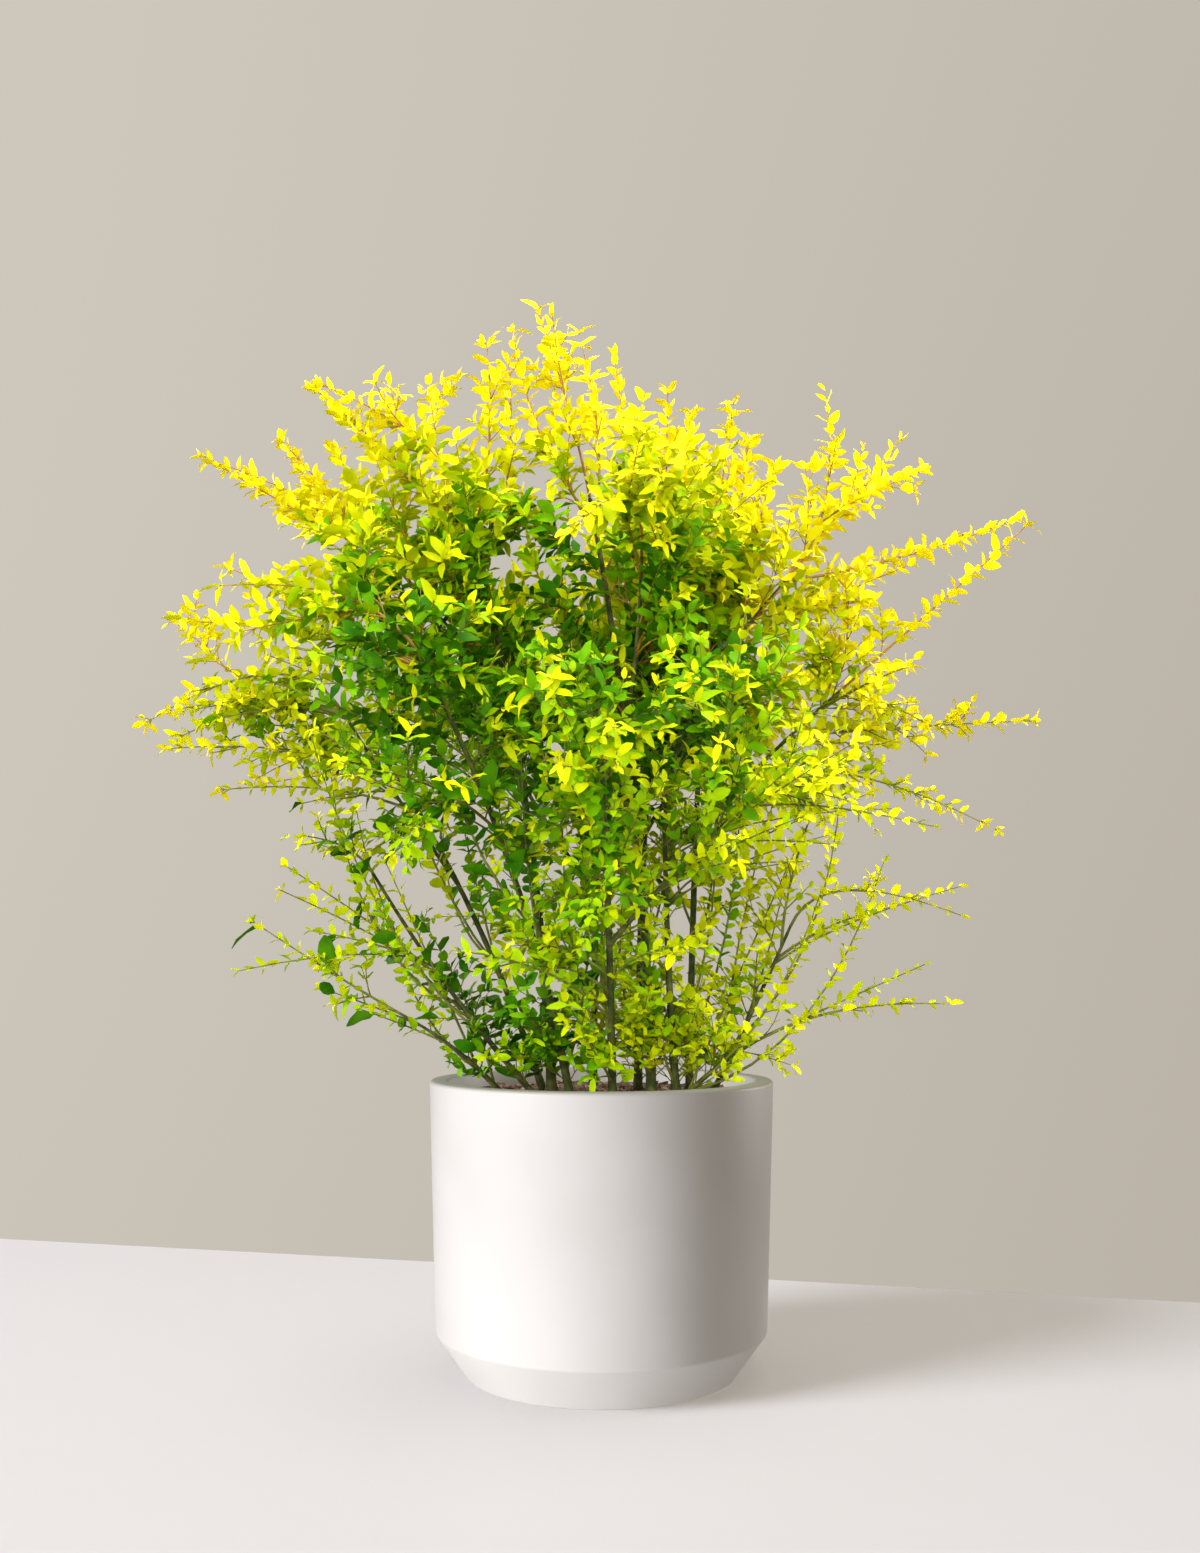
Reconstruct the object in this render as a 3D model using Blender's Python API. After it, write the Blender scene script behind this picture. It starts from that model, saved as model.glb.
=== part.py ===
# Potted Chinese privet: a shrub of many thin stems from one foot, in a round white pot of soil.
# Metres, +Z up. The origin is the centre of the pot's flat underside, +X is the shrub's
# right and -Y its front. A bearing turns from +X towards +Y, in degrees.
import math

import bmesh
import bpy
import numpy as np
from mathutils.bvhtree import BVHTree

# Room left between pieces that touch on the real plant
SEAT_GAP = 0.0003

# Pot
POT_HEIGHT = 0.323
RIM_RADIUS = 0.200
SHOULDER_RADIUS = 0.1885
SHOULDER_HEIGHT = 0.0466
BASE_RADIUS = 0.1538
WALL = 0.022
FLOOR = 0.020
RIM_ROUND = 0.003
BEND_ROUND = 0.004
POT_SIDES = 48

# Soil
SOIL_TOP = 0.3082

# Stems and boughs
STEM_SIDES = 8
BOUGH_SIDES = 6
STEM_RINGS = 7
BOUGH_RINGS = 4
RING_CROWDING = 1.6
STEM_BEND = 0.50
SIDE_BEND = 0.42
FORK_ANGLE = math.radians(38)
STEM_TAPER = 0.50
BOUGH_TAPER = 0.60
FORK_SHRINK = 0.85
TIP_SHRINK = 0.95
FLARE = 0.80
FLARE_LENGTH = 0.015
SMOOTH_ANGLE = math.radians(35)
UPRIGHT = 0.05

# Foliage
SEED = 20
TILT_SEED = 500
SPACE_POINTS = 25
SPACE_MARGIN = 0.0016
LIMB_MARGIN = 0.004
SHOOT_RADIUS = 0.0032
SHOOT_TIP_RADIUS = 0.0014
SHOOT_RINGS = 4
TWIG_RADIUS = 0.0017
TWIG_TIP_RADIUS = 0.0011
PAIR_SPACING = 0.038
PAIR_PER_SPREAD = 0.28
FEWEST_PAIRS = 3
FIRST_PAIR = 0.7
BEYOND_LAST_PAIR = 0.5
QUARTER_TURN = math.pi / 2
ROLL_JITTER = math.radians(25)
SLIDE_JITTER = 0.25
LEAST_VIGOUR = 0.80
MOST_VIGOUR = 1.15
SPLAY_ANGLE = math.radians(55)
TWIG_LIFT = 0.15
LONGEST_AT = 0.33
RISING_POWER = 0.6
FALLING_POWER = 0.7
TESTED_FROM = 0.25
TESTED_POINTS = 8
SHRINK_STEPS = (1.0, 0.8, 0.62, 0.48)
LEAF_LENGTH = 0.052
LEAF_PER_SPREAD = 0.21
LEAF_ROOT = 0.006
LEAF_ALONE = 1.40
LEAF_SHRINKS = (1.0, 0.8, 0.64)
PAIR_ON_TWIG = 0.55
PAIR_BELOW_END = 1.5
LEAF_ASPECT = 0.56
LEAF_THICKNESS = 0.035
LEAF_WIDEST = 0.42
LEAF_FOLD = 0.06
LEAF_DROOP = 0.10
LEAF_ANGLE = math.radians(50)
LEAF_OUTWARD = 0.9
LEAF_TILT = 0.5

# Name, foot (x, y), lean at the foot in degrees, tip (bearing, reach, height), foot diameter
STEMS = (
    ("stem_01", (-0.078, -0.035), 42, (191, 0.270, 0.560), 0.009),
    ("stem_02", (-0.070, 0.030), 20, (163, 0.275, 0.700), 0.011),
    ("stem_03", (-0.058, -0.005), 3, (180, 0.163, 1.010), 0.015),
    ("stem_04", (-0.036, -0.050), 12, (217, 0.250, 0.790), 0.012),
    ("stem_05", (0.058, -0.012), 1, (180, 0.014, 1.030), 0.015),
    ("stem_06", (0.044, 0.040), 2, (57, 0.143, 0.950), 0.013),
    ("stem_07", (0.086, -0.030), 5, (345, 0.078, 0.610), 0.013),
    ("stem_08", (0.105, 0.030), 2, (24, 0.145, 0.865), 0.012),
    ("stem_09", (0.094, -0.065), 48, (351, 0.200, 0.377), 0.008),
    ("stem_10", (0.130, -0.010), 28, (0, 0.225, 0.500), 0.009),
    ("stem_11", (-0.118, -0.010), 42, (188, 0.223, 0.392), 0.008),
    ("stem_12", (0.012, -0.078), 8, (270, 0.250, 0.660), 0.012),
    ("stem_13", (-0.010, 0.080), 8, (90, 0.250, 0.770), 0.013),
)

# Name, limb that carries it, how far along that limb, tip (bearing, reach, height)
BOUGHS = (
    ("bough_01", "stem_03", 0.68, (162, 0.285, 0.975)),
    ("bough_02", "stem_02", 0.62, (186, 0.312, 0.756)),
    ("bough_03", "stem_07", 1.00, (355, 0.231, 0.925)),
    ("bough_04", "stem_05", 0.60, (300, 0.095, 0.930)),
    ("bough_05", "stem_08", 0.55, (4, 0.295, 0.790)),
    ("bough_06", "stem_12", 0.45, (306, 0.265, 0.625)),
    ("bough_07", "stem_06", 0.48, (52, 0.275, 0.800)),
    ("bough_08", "stem_13", 0.50, (130, 0.275, 0.830)),
)

# Name, limb that carries it, how far along, tip (bearing, reach, height), spread, colour
MASSES = (
    ("foliage_nose", "stem_03", 1.00, (189, 0.368, 1.164), 0.150, "gold"),
    ("foliage_upper_left", "bough_01", 1.00, (172, 0.543, 1.119), 0.150, "gold"),
    ("foliage_left", "stem_04", 1.00, (197, 0.477, 0.876), 0.160, "lemon"),
    ("foliage_left_tip", "bough_02", 1.00, (178, 0.584, 0.735), 0.150, "lemon"),
    ("foliage_lower_left", "stem_02", 1.00, (166, 0.486, 0.680), 0.140, "lime"),
    ("foliage_left_skirt", "stem_01", 1.00, (199, 0.373, 0.598), 0.110, "lime"),
    ("foliage_low_left", "stem_11", 1.00, (186, 0.415, 0.510), 0.070, "lime"),
    ("foliage_crest", "stem_05", 1.00, (200, 0.089, 1.281), 0.140, "gold"),
    ("foliage_top", "stem_05", 0.86, (78, 0.061, 1.270), 0.140, "gold"),
    ("foliage_top_right", "stem_06", 1.00, (53, 0.150, 1.249), 0.140, "gold"),
    ("foliage_right_shoulder", "stem_08", 1.00, (343, 0.171, 1.145), 0.140, "gold"),
    ("foliage_right_crest", "bough_03", 1.00, (348, 0.277, 1.159), 0.150, "gold"),
    ("foliage_right_top", "bough_03", 0.80, (14, 0.425, 1.168), 0.140, "gold"),
    ("foliage_right_tip", "bough_05", 1.00, (358, 0.540, 1.005), 0.110, "lemon"),
    ("foliage_right", "bough_05", 0.84, (335, 0.385, 0.783), 0.150, "lemon"),
    ("foliage_right_arm", "bough_05", 0.70, (8, 0.574, 0.765), 0.080, "lemon"),
    ("foliage_right_low_arm", "bough_05", 0.46, (353, 0.468, 0.607), 0.085, "lime"),
    ("foliage_right_skirt", "stem_10", 0.80, (20, 0.412, 0.533), 0.110, "lime"),
    ("foliage_low_right", "stem_10", 1.00, (352, 0.446, 0.499), 0.075, "lime"),
    ("foliage_low_right_tip", "stem_09", 1.00, (5, 0.431, 0.408), 0.060, "lime"),
    ("foliage_front_left_high", "stem_04", 0.86, (236, 0.363, 0.822), 0.160, "leaf_green"),
    ("foliage_front_high", "bough_04", 1.00, (264, 0.360, 0.861), 0.170, "leaf_green"),
    ("foliage_front_right_high", "bough_06", 0.80, (294, 0.357, 0.819), 0.160, "leaf_green"),
    ("foliage_front_left", "stem_04", 0.60, (232, 0.430, 0.642), 0.160, "lime"),
    ("foliage_front", "stem_12", 1.00, (272, 0.440, 0.659), 0.160, "lime"),
    ("foliage_front_right", "bough_06", 1.00, (308, 0.394, 0.630), 0.150, "lime"),
    ("foliage_front_low_left", "stem_12", 0.22, (240, 0.305, 0.468), 0.140, "leaf_green"),
    ("foliage_front_low", "stem_12", 0.58, (267, 0.320, 0.495), 0.140, "lime"),
    ("foliage_front_low_right", "stem_12", 0.34, (295, 0.288, 0.468), 0.140, "leaf_green"),
    ("foliage_back_left_high", "bough_08", 0.80, (126, 0.340, 1.020), 0.160, "gold"),
    ("foliage_back_high", "stem_06", 0.80, (92, 0.330, 1.100), 0.160, "gold"),
    ("foliage_back_right_high", "bough_07", 0.80, (58, 0.340, 1.000), 0.160, "gold"),
    ("foliage_back_left", "bough_08", 1.00, (143, 0.440, 0.780), 0.160, "lemon"),
    ("foliage_back", "stem_13", 1.00, (94, 0.460, 0.800), 0.170, "lemon"),
    ("foliage_back_right", "bough_07", 1.00, (40, 0.440, 0.760), 0.160, "lemon"),
    ("foliage_back_low_left", "stem_13", 0.30, (136, 0.330, 0.520), 0.140, "leaf_green"),
    ("foliage_back_low_right", "stem_13", 0.42, (52, 0.340, 0.520), 0.140, "leaf_green"),
)

# Name: base colour, roughness
FINISHES = {
    "pot_white": ((0.86, 0.84, 0.81), 0.42),
    "soil_brown": ((0.10, 0.06, 0.04), 0.95),
    "bark": ((0.22, 0.17, 0.11), 0.80),
    "gold": ((0.90, 0.72, 0.03), 0.50),
    "lemon": ((0.80, 0.78, 0.08), 0.50),
    "lime": ((0.45, 0.55, 0.05), 0.50),
    "leaf_green": ((0.16, 0.30, 0.03), 0.50),
}


def clear_scene():
    for obj in list(bpy.data.objects):
        bpy.data.objects.remove(obj, do_unlink=True)


def finish(name):
    """The material of this name, made the first time that it is asked for."""
    if name in bpy.data.materials:
        return bpy.data.materials[name]
    colour, roughness = FINISHES[name]
    material = bpy.data.materials.new(name)
    material.use_nodes = True
    shader = material.node_tree.nodes["Principled BSDF"]
    shader.inputs["Base Color"].default_value = (*colour, 1.0)
    shader.inputs["Roughness"].default_value = roughness
    shader.inputs["Metallic"].default_value = 0.0
    return material


def object_from(shape, name, finish_name, smooth=False):
    """Closes the bmesh into an object with its faces pointing outwards."""
    bmesh.ops.recalc_face_normals(shape, faces=shape.faces)
    mesh = bpy.data.meshes.new(name)
    shape.to_mesh(mesh)
    shape.free()
    mesh.materials.append(finish(finish_name))
    if smooth:
        mesh.shade_smooth()
        mesh.set_sharp_from_angle(angle=SMOOTH_ANGLE)
    obj = bpy.data.objects.new(name, mesh)
    bpy.context.scene.collection.objects.link(obj)
    return obj


def discard(obj):
    mesh = obj.data
    bpy.data.objects.remove(obj)
    bpy.data.meshes.remove(mesh)


# Pot and soil


def rounded(corner, before, after, radius, steps=3):
    """Points of an arc that rounds off a profile's corner, from the side of before to after."""
    corner, before, after = (np.array(point, float) for point in (corner, before, after))
    inward = unit(before - corner)
    outward = unit(after - corner)
    half = math.acos(np.dot(inward, outward)) / 2
    centre = corner + unit(inward + outward) * radius / math.sin(half)
    first = corner + inward * radius / math.tan(half) - centre
    last = corner + outward * radius / math.tan(half) - centre
    shares = np.linspace(0, 1, steps)
    swing = math.pi - 2 * half
    weight_first = np.sin((1 - shares) * swing) / math.sin(swing)
    weight_last = np.sin(shares * swing) / math.sin(swing)
    return [tuple(centre + a * first + b * last) for a, b in zip(weight_first, weight_last)]


def inner_corners(gap):
    """Radius and height of the pot's inside at its floor, its shoulder and its rim, less a gap."""
    return (
        (BASE_RADIUS - WALL / 2 - gap, FLOOR + gap),
        (SHOULDER_RADIUS - WALL - gap, SHOULDER_HEIGHT + FLOOR / 4),
        (RIM_RADIUS - WALL - gap, POT_HEIGHT),
    )


def turned(profile, name, finish_name):
    """A solid turned round the Z axis from a profile of (radius, height) points."""
    shape = bmesh.new()
    points = [shape.verts.new((radius, 0, height)) for radius, height in profile]
    edges = [shape.edges.new(pair) for pair in zip(points, points[1:])]
    bmesh.ops.spin(
        shape,
        geom=points + edges,
        cent=(0, 0, 0),
        axis=(0, 0, 1),
        angle=2 * math.pi,
        steps=POT_SIDES,
        use_merge=True,
    )
    bmesh.ops.remove_doubles(shape, verts=shape.verts, dist=0.00001)
    return object_from(shape, name, finish_name, smooth=True)


def make_pot():
    """A straight-sided pot that tapers a little, with a sloped bottom edge and a flat underside."""
    base = (BASE_RADIUS, 0)
    shoulder = (SHOULDER_RADIUS, SHOULDER_HEIGHT)
    rim_out = (RIM_RADIUS, POT_HEIGHT)
    floor_in, shoulder_in, rim_in = inner_corners(0)
    profile = [(0, 0)]
    profile += rounded(base, (0, 0), shoulder, RIM_ROUND, 2)
    profile += rounded(shoulder, base, rim_out, BEND_ROUND, 2)
    profile += rounded(rim_out, shoulder, rim_in, RIM_ROUND)
    profile += rounded(rim_in, rim_out, shoulder_in, RIM_ROUND)
    profile += [shoulder_in, floor_in, (0, FLOOR)]
    return turned(profile, "pot", "pot_white")


def make_soil():
    """The soil that fills the pot to just below its rim."""
    floor_in, shoulder_in, rim_in = inner_corners(SEAT_GAP)
    rise = (SOIL_TOP - shoulder_in[1]) / (rim_in[1] - shoulder_in[1])
    top_radius = shoulder_in[0] + rise * (rim_in[0] - shoulder_in[0])
    profile = [(0, floor_in[1]), floor_in, shoulder_in, (top_radius, SOIL_TOP), (0, SOIL_TOP)]
    return turned(profile, "soil", "soil_brown")


# Limbs


def unit(vector):
    return vector / np.linalg.norm(vector)


def place(bearing, reach, height):
    """The point at this bearing and reach from the pot's axis, and this height."""
    turn = math.radians(bearing)
    return np.array([reach * math.cos(turn), reach * math.sin(turn), height])


def bow(foot, start, tip, bend):
    """A limb's line: it leaves the foot along start and curves evenly to the tip."""
    return {"foot": foot, "corner": foot + start * np.linalg.norm(tip - foot) * bend, "tip": tip}


def point_on(line, share):
    share = np.asarray(share, float)[..., None]
    near, middle, far = (1 - share) ** 2, 2 * share * (1 - share), share**2
    return near * line["foot"] + middle * line["corner"] + far * line["tip"]


def direction_on(line, share):
    first = line["corner"] - line["foot"]
    last = line["tip"] - line["corner"]
    return unit((1 - share) * first + share * last)


def line_length(line):
    points = point_on(line, np.linspace(0, 1, SPACE_POINTS))
    return float(np.linalg.norm(np.diff(points, axis=0), axis=1).sum())


def turned_towards(direction, wanted, angle):
    """The direction turned by an angle to the side on which wanted lies."""
    across = unit(wanted - direction * np.dot(wanted, direction))
    return direction * math.cos(angle) + across * math.sin(angle)


def carried_line(carrier, share, tip):
    """The line of a bough or shoot that goes on from its carrier's tip or forks from its side."""
    direction = direction_on(carrier, share)
    foot = point_on(carrier, share)
    if share == 1:
        return bow(foot + direction * SEAT_GAP, direction, tip, SIDE_BEND)
    return bow(foot, turned_towards(direction, tip - foot, FORK_ANGLE), tip, SIDE_BEND)


def limb_lines():
    """Every stem and bough by name, with its radii at foot and tip."""
    limbs = {}
    for name, (x, y), lean, tip, diameter in STEMS:
        foot = np.array([x, y, SOIL_TOP + SEAT_GAP])
        tip = place(*tip)
        bearing = math.atan2(tip[1] - y, tip[0] - x)
        slope = math.radians(lean)
        out = math.sin(slope)
        start = np.array([out * math.cos(bearing), out * math.sin(bearing), math.cos(slope)])
        line = bow(foot, start, tip, STEM_BEND)
        radii = (diameter / 2, diameter / 2 * STEM_TAPER)
        limbs[name] = {**line, "radii": radii, "carrier": None, "at": 0}
    for name, carrier, share, tip in BOUGHS:
        parent = limbs[carrier]
        thick = radius_on(parent, share) * (TIP_SHRINK if share == 1 else FORK_SHRINK)
        line = carried_line(parent, share, place(*tip))
        radii = (thick, thick * BOUGH_TAPER)
        limbs[name] = {**line, "radii": radii, "carrier": carrier, "at": share}
    return limbs


def radius_on(limb, share):
    foot, tip = limb["radii"]
    return foot + (tip - foot) * share


def shoot_lines(limbs):
    """The main shoot of each mass of foliage, with its spread."""
    shoots = {}
    for name, carrier, share, tip, spread, colour in MASSES:
        line = carried_line(limbs[carrier], share, place(*tip))
        shoots[name] = {**line, "carrier": carrier, "at": share, "spread": spread, "colour": colour}
    return shoots


def side_axes(direction):
    """Two directions square to this one and to each other."""
    across = np.cross(direction, (0.0, 0.0, 1.0))
    if np.linalg.norm(across) < UPRIGHT:
        across = np.array([1.0, 0.0, 0.0])
    across = unit(across - direction * np.dot(across, direction))
    return across, np.cross(across, direction)


def tube(name, centres, directions, radii, sides, finish_name, flat_foot=False):
    """A closed tapering limb through rings at the centres, cut square at its ends.

    With flat_foot its lowest ring lies level, as a stem's cut at the soil does.
    """
    shape = bmesh.new()
    rings = []
    across, over = side_axes(directions[0])
    for number, (centre, direction, radius) in enumerate(zip(centres, directions, radii)):
        across = unit(across - direction * np.dot(across, direction))
        over = np.cross(direction, across)
        first, second = across, over
        if flat_foot and number == 0:
            first = unit(across * (1, 1, 0))
            second = np.cross((0.0, 0.0, 1.0), first)
        turns = np.arange(sides) * 2 * math.pi / sides
        ring = centre + radius * (np.outer(np.cos(turns), first) + np.outer(np.sin(turns), second))
        rings.append([shape.verts.new(point) for point in ring])
    for low, high in zip(rings, rings[1:]):
        for side in range(sides):
            after = (side + 1) % sides
            shape.faces.new((low[side], low[after], high[after], high[side]))
    shape.faces.new(rings[0][::-1])
    shape.faces.new(rings[-1])
    return object_from(shape, name, finish_name, smooth=True)


def limb_solid(name, limb, swell=0.0):
    """A stem or bough as a solid. Swell makes it thicker all round, as a cutter or a test."""
    is_stem = limb["carrier"] is None
    shares = np.linspace(0, 1, STEM_RINGS if is_stem else BOUGH_RINGS)
    if is_stem:
        shares = shares**RING_CROWDING
    centres = point_on(limb, shares)
    directions = [direction_on(limb, share) for share in shares]
    radii = radius_on(limb, shares) + swell
    if is_stem:
        rise = np.linalg.norm(centres - centres[0], axis=1)
        radii = radii * (1 + FLARE * np.exp(-rise / FLARE_LENGTH))
    sides = STEM_SIDES if is_stem else BOUGH_SIDES
    return tube(name, centres, directions, radii, sides, "bark", flat_foot=is_stem)


def boolean(target, operation, cutter=None, collection=None):
    """Applies one Boolean to the target's mesh and removes the object or the objects it used."""
    modifier = target.modifiers.new(operation.lower(), "BOOLEAN")
    modifier.operation = operation
    modifier.solver = "EXACT"
    if collection:
        modifier.operand_type = "COLLECTION"
        modifier.collection = collection
    else:
        modifier.object = cutter
    with bpy.context.temp_override(object=target):
        bpy.ops.object.modifier_apply(modifier=modifier.name)
    for obj in list(collection.objects) if collection else [cutter]:
        discard(obj)
    if collection:
        bpy.data.collections.remove(collection)
    keep_largest(target.data)


def keep_largest(mesh):
    """Keeps the mesh's largest connected body, dropping loose scraps and filling sealed hollows."""
    shape = bmesh.new()
    shape.from_mesh(mesh)
    unseen = set(shape.verts)
    bodies = []
    while unseen:
        waiting = [unseen.pop()]
        body = list(waiting)
        while waiting:
            corner = waiting.pop()
            near = {edge.other_vert(corner) for edge in corner.link_edges} & unseen
            unseen -= near
            waiting += near
            body += near
        bodies.append(body)
    bodies.sort(key=len)
    loose = [corner for body in bodies[:-1] for corner in body]
    bmesh.ops.delete(shape, geom=loose, context="VERTS")
    shape.to_mesh(mesh)
    shape.free()


def cut_clear(obj, line, limbs):
    """Shapes the foot of a side limb to the limb that carries it, the seat's gap away."""
    if line["at"] == 1:
        return
    boolean(obj, "DIFFERENCE", cutter=limb_solid("carrier", limbs[line["carrier"]], SEAT_GAP))


def make_limbs(limbs):
    for name, limb in limbs.items():
        obj = limb_solid(name, limb)
        if limb["carrier"]:
            cut_clear(obj, limb, limbs)


# Foliage


def space_of(limbs, shoots):
    """What decides whose space a point is in: the shoots' and the limbs' points and sizes."""
    shares = np.linspace(0, 1, SPACE_POINTS)
    return {
        "shoot_points": np.array([point_on(shoot, shares) for shoot in shoots.values()]),
        "spreads": np.array([shoot["spread"] for shoot in shoots.values()]),
        "limb_points": np.concatenate([point_on(limb, shares) for limb in limbs.values()]),
        "limb_radii": np.concatenate([radius_on(limb, shares) for limb in limbs.values()]),
    }


def in_space(points, own, space):
    """Whether the points all lie nearer, for its spread, to their own shoot than to any other."""
    steps = space["shoot_points"][None] - points[:, None, None]
    share = np.linalg.norm(steps, axis=3).min(axis=2) / space["spreads"]
    inverse = 1 / space["spreads"]
    room = (share - share[:, own : own + 1]) / (inverse + inverse[own])
    room[:, own] = 1
    return bool((room > SPACE_MARGIN).all())


def off_limbs(points, space):
    steps = space["limb_points"][None] - points[:, None]
    room = np.linalg.norm(steps, axis=2) - space["limb_radii"]
    return bool((room > LIMB_MARGIN).all())


def envelope(share):
    """How long side twigs are along a shoot: longest a third of the way up, short at the tip."""
    rising = min(share / LONGEST_AT, 1) ** RISING_POWER
    falling = min((1 - share) / (1 - LONGEST_AT), 1) ** FALLING_POWER
    return rising * falling


def side_twigs(shoot, own, space, shoot_end):
    """Opposite pairs of twigs, each pair a quarter turn from the last, kept in the shoot's space."""
    spacing = PAIR_SPACING + PAIR_PER_SPREAD * shoot["spread"]
    pairs = max(FEWEST_PAIRS, round(line_length(shoot) / spacing))
    random = np.random.RandomState(SEED + own)
    slides = random.uniform(-SLIDE_JITTER, SLIDE_JITTER, pairs)
    rolls = random.uniform(-ROLL_JITTER, ROLL_JITTER, pairs)
    vigour = random.uniform(LEAST_VIGOUR, MOST_VIGOUR, (pairs, 2))
    twigs = []
    for pair in range(pairs):
        share = shoot_end * (pair + FIRST_PAIR + slides[pair]) / (pairs + BEYOND_LAST_PAIR)
        foot = seat_inside(shoot, share, shoot_end, SHOOT_RINGS)
        direction = direction_on(shoot, share)
        across, over = side_axes(direction)
        turn = pair * QUARTER_TURN + rolls[pair]
        outward = across * math.cos(turn) + over * math.sin(turn)
        for number, side in enumerate((outward, -outward)):
            reach = shoot["spread"] * envelope(share) * vigour[pair, number]
            start = direction * math.cos(FORK_ANGLE) + side * math.sin(FORK_ANGLE)
            away = direction * math.cos(SPLAY_ANGLE) + side * math.sin(SPLAY_ANGLE)
            away = away + np.array([0.0, 0.0, TWIG_LIFT])
            twig = fitted_twig(foot, start, away * reach, own, space)
            if twig:
                twigs.append(twig)
    return twigs


def fitted_twig(foot, start, stretch, own, space):
    """The twig at its full length or shorter, or None where even the shortest has no room."""
    for shrink in SHRINK_STEPS:
        twig = bow(foot, start, foot + stretch * shrink, SIDE_BEND)
        outer = point_on(twig, np.linspace(TESTED_FROM, 1, TESTED_POINTS))
        if in_space(outer, own, space) and off_limbs(outer, space):
            return twig
    return None


def leaf_points(root, tip, tilt):
    """Root, tip, two edges, top and underside of a leaf folded on its midrib.

    Its upper side faces up and away from the middle of the shrub, turned a little by the tilt.
    """
    length = np.linalg.norm(tip - root)
    direction = unit(tip - root)
    facing = unit(root * (1, 1, 0)) * LEAF_OUTWARD + np.array([0.0, 0.0, 1.0]) + tilt * LEAF_TILT
    side = unit(np.cross(direction, facing))
    normal = np.cross(side, direction)
    middle = root + direction * length * LEAF_WIDEST
    edge = side * length * LEAF_ASPECT / 2
    fold = normal * length * LEAF_FOLD
    half = normal * length * LEAF_THICKNESS / 2
    tip = tip - normal * length * LEAF_DROOP
    left = middle + edge + fold
    right = middle - edge + fold
    return np.array([root, tip, left, right, middle + half, middle - half])


LEAF_FACES = (
    (0, 2, 4),
    (0, 4, 3),
    (0, 3, 5),
    (0, 5, 2),
    (1, 4, 2),
    (1, 3, 4),
    (1, 5, 3),
    (1, 2, 5),
)


def leaf_solid(points, finish_name):
    shape = bmesh.new()
    corners = [shape.verts.new(point) for point in points]
    for face in LEAF_FACES:
        shape.faces.new([corners[number] for number in face])
    return object_from(shape, "leaf", finish_name)


def twig_solid(name, line, radii, finish_name, rings, last=1.0):
    shares = np.linspace(0, last, rings)
    directions = [direction_on(line, share) for share in shares]
    thickness = np.interp(shares, (0, 1), radii)
    return tube(name, point_on(line, shares), directions, thickness, 3, finish_name)


def touches(obj, limb_tree):
    """Whether the object's surface meets that of any limb."""
    tree = BVHTree.FromPolygons(
        [vertex.co for vertex in obj.data.vertices],
        [face.vertices for face in obj.data.polygons],
    )
    return bool(tree.overlap(limb_tree))


def limb_surfaces(limbs):
    """One search tree over all stems and boughs, each thicker by twice the seat's gap."""
    corners = []
    faces = []
    for limb in limbs.values():
        obj = limb_solid("swollen", limb, 2 * SEAT_GAP)
        start = len(corners)
        corners += [vertex.co.copy() for vertex in obj.data.vertices]
        faces += [[start + corner for corner in face.vertices] for face in obj.data.polygons]
        discard(obj)
    return BVHTree.FromPolygons(corners, faces)


def leaf_start(line, length):
    """How far along a twig its end leaf starts: at the foot where the twig is little but a leaf."""
    reach = line_length(line)
    return 1 - length / reach if reach > LEAF_ALONE * length else 0.0


def seat_inside(line, share, last, rings):
    """The middle of a twig's solid at this share of its line, where straight stretches join rings."""
    shares = np.linspace(0, last, rings)
    centres = point_on(line, shares)
    return np.array([np.interp(share, shares, centre) for centre in centres.T])


def leaf_seats(shoot, twigs, length):
    """Root and tip of each leaf: one on each twig's end, and a pair and an end leaf on the shoot."""
    seats = []
    shoot_end = leaf_start(shoot, length)
    for twig in twigs:
        last = leaf_start(twig, length)
        share = last - LEAF_ROOT / line_length(twig)
        root = seat_inside(twig, share, last, 2) if last > 0 else twig["foot"]
        seats.append((root, twig["tip"]))
        if last > 0:
            seats += leaf_pair(twig, PAIR_ON_TWIG * last, last, 2, length)
    share = shoot_end - LEAF_ROOT / line_length(shoot)
    seats.append((seat_inside(shoot, share, shoot_end, SHOOT_RINGS), shoot["tip"]))
    pair_at = leaf_start(shoot, PAIR_BELOW_END * length)
    seats += leaf_pair(shoot, pair_at, shoot_end, SHOOT_RINGS, length)
    return seats


def leaf_pair(line, share, last, rings, length):
    """Root and tip of two opposite leaves at this share of a twig or shoot."""
    root = seat_inside(line, share, last, rings)
    along = direction_on(line, share)
    across, over = side_axes(along)
    ahead = along * math.cos(LEAF_ANGLE)
    aside = across * math.sin(LEAF_ANGLE)
    return [(root, root + (ahead + aside) * length), (root, root + (ahead - aside) * length)]


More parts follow.
